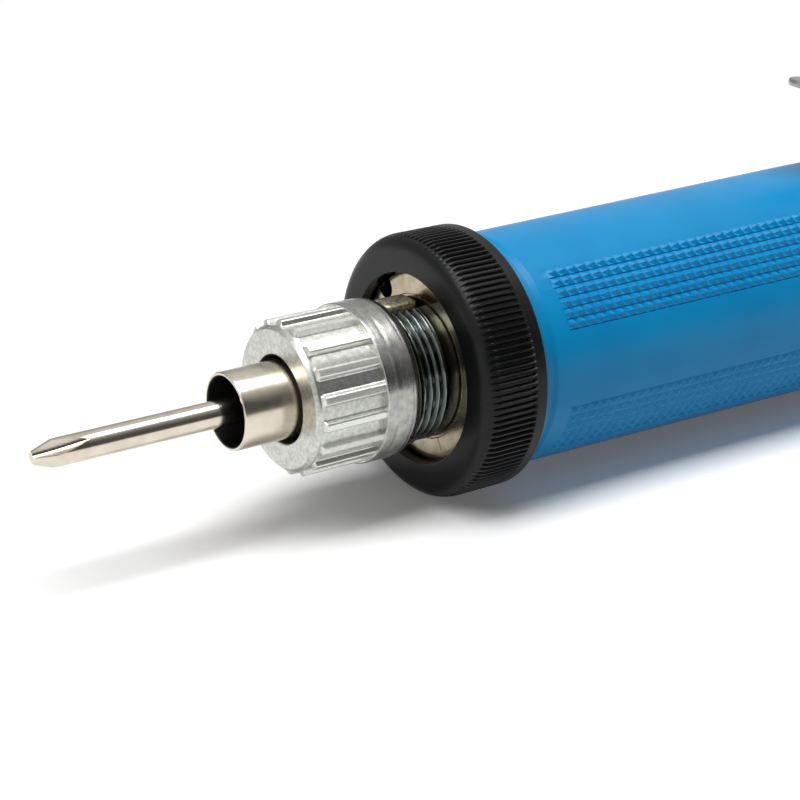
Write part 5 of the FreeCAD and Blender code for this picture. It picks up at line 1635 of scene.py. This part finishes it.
@dataclass
class Studio:
    """The plain white floor, the soft light and the camera."""

    eye: tuple[float, float, float] = (-0.2324, -0.2434, 0.1288)
    aim: tuple[float, float, float] = (-0.06496, 0.0, 0.01534)
    lens: float = 95.94
    sensor: float = 36.0
    clip_start: float = 0.01
    floor_half: float = 6.0
    bounce: str = "#d0d0d0"
    paper: str = "#fafafa"
    paper_rough: float = 0.9
    glow: float = 0.1
    lamp_at: tuple[float, float, float] = (-0.8, -0.15, 2.0)
    lamp_size: tuple[float, float] = (3.6, 1.0)
    lamp_watts: float = 64.0
    sky: float = 0.1
    front_wall: tuple[float, float] = (0.1, 0.9)
    front_fade: tuple[float, float] = (-0.78, -0.3)
    rear_dim: tuple[float, float] = (1.0, 0.5)
    rear_fade: tuple[float, float] = (0.6, 0.95)

    def shown(self, tree: bpy.types.NodeTree) -> bpy.types.NodeSocket:
        """A share of 1 for what the camera sees, straight or in gloss or glass, and 0 for other light.

        Args:
            tree: The node tree to add to.

        Returns:
            The share's socket.
        """
        rays = add_node(tree, "ShaderNodeLightPath").outputs
        seen = combine(tree, "MAXIMUM", rays["Is Camera Ray"], rays["Is Glossy Ray"])
        return combine(tree, "MAXIMUM", seen, rays["Is Transmission Ray"])

    def floor(self) -> None:
        """Lay a floor under the tool, light grey to bounced light, and white to the eye and in gloss."""
        side = self.floor_half
        corners = [(-side, -side, 0), (side, -side, 0), (side, side, 0), (-side, side, 0)]
        mesh = bpy.data.meshes.new("studio_floor")
        mesh.from_pydata(corners, [], [(0, 1, 2, 3)])
        floor = bpy.data.objects.new("studio_floor", mesh)
        bpy.context.scene.collection.objects.link(floor)
        paper = bpy.data.materials.new("studio_paper_white")
        paper.use_nodes = True
        tree = paper.node_tree
        tree.nodes.clear()
        shown = self.shown(tree)
        lift = add_node(tree, "ShaderNodeMath", {"operation": "MULTIPLY"}, {1: self.glow}, {0: shown})
        tones = {6: linear(self.bounce), 7: linear(self.paper)}
        tone = add_node(tree, "ShaderNodeMix", {"data_type": "RGBA"}, tones, {0: shown})
        shader = add_node(
            tree, "ShaderNodeBsdfPrincipled",
            values={
                "Roughness": self.paper_rough, "Specular IOR Level": 0.0,
                "Emission Color": linear("#ffffff"),
            },
            links={"Emission Strength": lift.outputs[0], "Base Color": tone.outputs[2]},
        )
        add_node(tree, "ShaderNodeOutputMaterial", links={"Surface": shader.outputs[0]})
        mesh.materials.append(paper)

    def lamp(self) -> None:
        """Hang a long soft light that faces straight down."""
        data = bpy.data.lights.new("soft_top", "AREA")
        data.shape = "RECTANGLE"
        data.size, data.size_y = self.lamp_size
        data.energy = self.lamp_watts
        lamp = bpy.data.objects.new("soft_top", data)
        lamp.location = self.lamp_at
        bpy.context.scene.collection.objects.link(lamp)

    def room(self) -> bpy.types.World:
        """Set the room: an even low light, white to the eye, and in gloss a pale back with a dark front.

        Returns:
            The world.
        """
        world = bpy.data.worlds.new("studio_room")
        world.use_nodes = True
        tree = world.node_tree
        tree.nodes.clear()
        facing = add_node(tree, "ShaderNodeTexCoord").outputs["Generated"]
        across = add_node(tree, "ShaderNodeSeparateXYZ", links={0: facing}).outputs["Y"]
        front = remap(tree, across, self.front_fade, self.front_wall)
        rear = remap(tree, across, self.rear_fade, self.rear_dim)
        wall = combine(tree, "MULTIPLY", front, rear)
        camera_ray = add_node(tree, "ShaderNodeLightPath").outputs["Is Camera Ray"]
        seen = combine(tree, "MAXIMUM", wall, camera_ray)
        level = add_node(
            tree, "ShaderNodeMix", {"data_type": "FLOAT"}, {2: self.sky}, {0: self.shown(tree), 3: seen},
        )
        paint = add_node(tree, "ShaderNodeBackground", links={"Strength": level.outputs[0]})
        add_node(tree, "ShaderNodeOutputWorld", links={"Surface": paint.outputs[0]})
        return world

    def build(self) -> None:
        """Set the floor, the light, the world and the camera."""
        scene = bpy.context.scene
        scene.view_settings.view_transform = "Standard"
        self.floor()
        self.lamp()
        scene.world = self.room()
        data = bpy.data.cameras.new("photo_camera")
        data.lens = self.lens
        data.sensor_width = self.sensor
        data.clip_start = self.clip_start
        camera = bpy.data.objects.new("photo_camera", data)
        camera.location = self.eye
        camera.rotation_euler = (Vector(self.aim) - Vector(self.eye)).to_track_quat("-Z", "Y").to_euler()
        scene.collection.objects.link(camera)
        scene.camera = camera


def main() -> None:
    """Dress the CAD nodes, build every sub-assembly in order, and set the studio."""
    logging.basicConfig(level=logging.INFO, format="%(name)s: %(message)s", stream=sys.stdout)
    axis = Axis.of_frame()
    finishes = Finishes()
    finishes.dress_nodes()
    for assembly in (
        DriverBit(axis), ChuckSleeve(axis), TorqueNut(axis), ThrustWasher(axis), NoseHousing(axis),
        CouplingRing(axis), Handle(axis), StartLever(axis), RockerSwitch(axis), Tail(axis),
        Spring("torque_spring", "thrust_washer", "body", 1.63),
        Spring("sleeve_spring", "sleeve", "spindle", 0.6),
        Spring("plunger_spring", "start_plunger", "body", 0.5, upright=True),
    ):
        assembly.build(finishes)
    Studio().build()


if __name__ == "__main__":
    main()
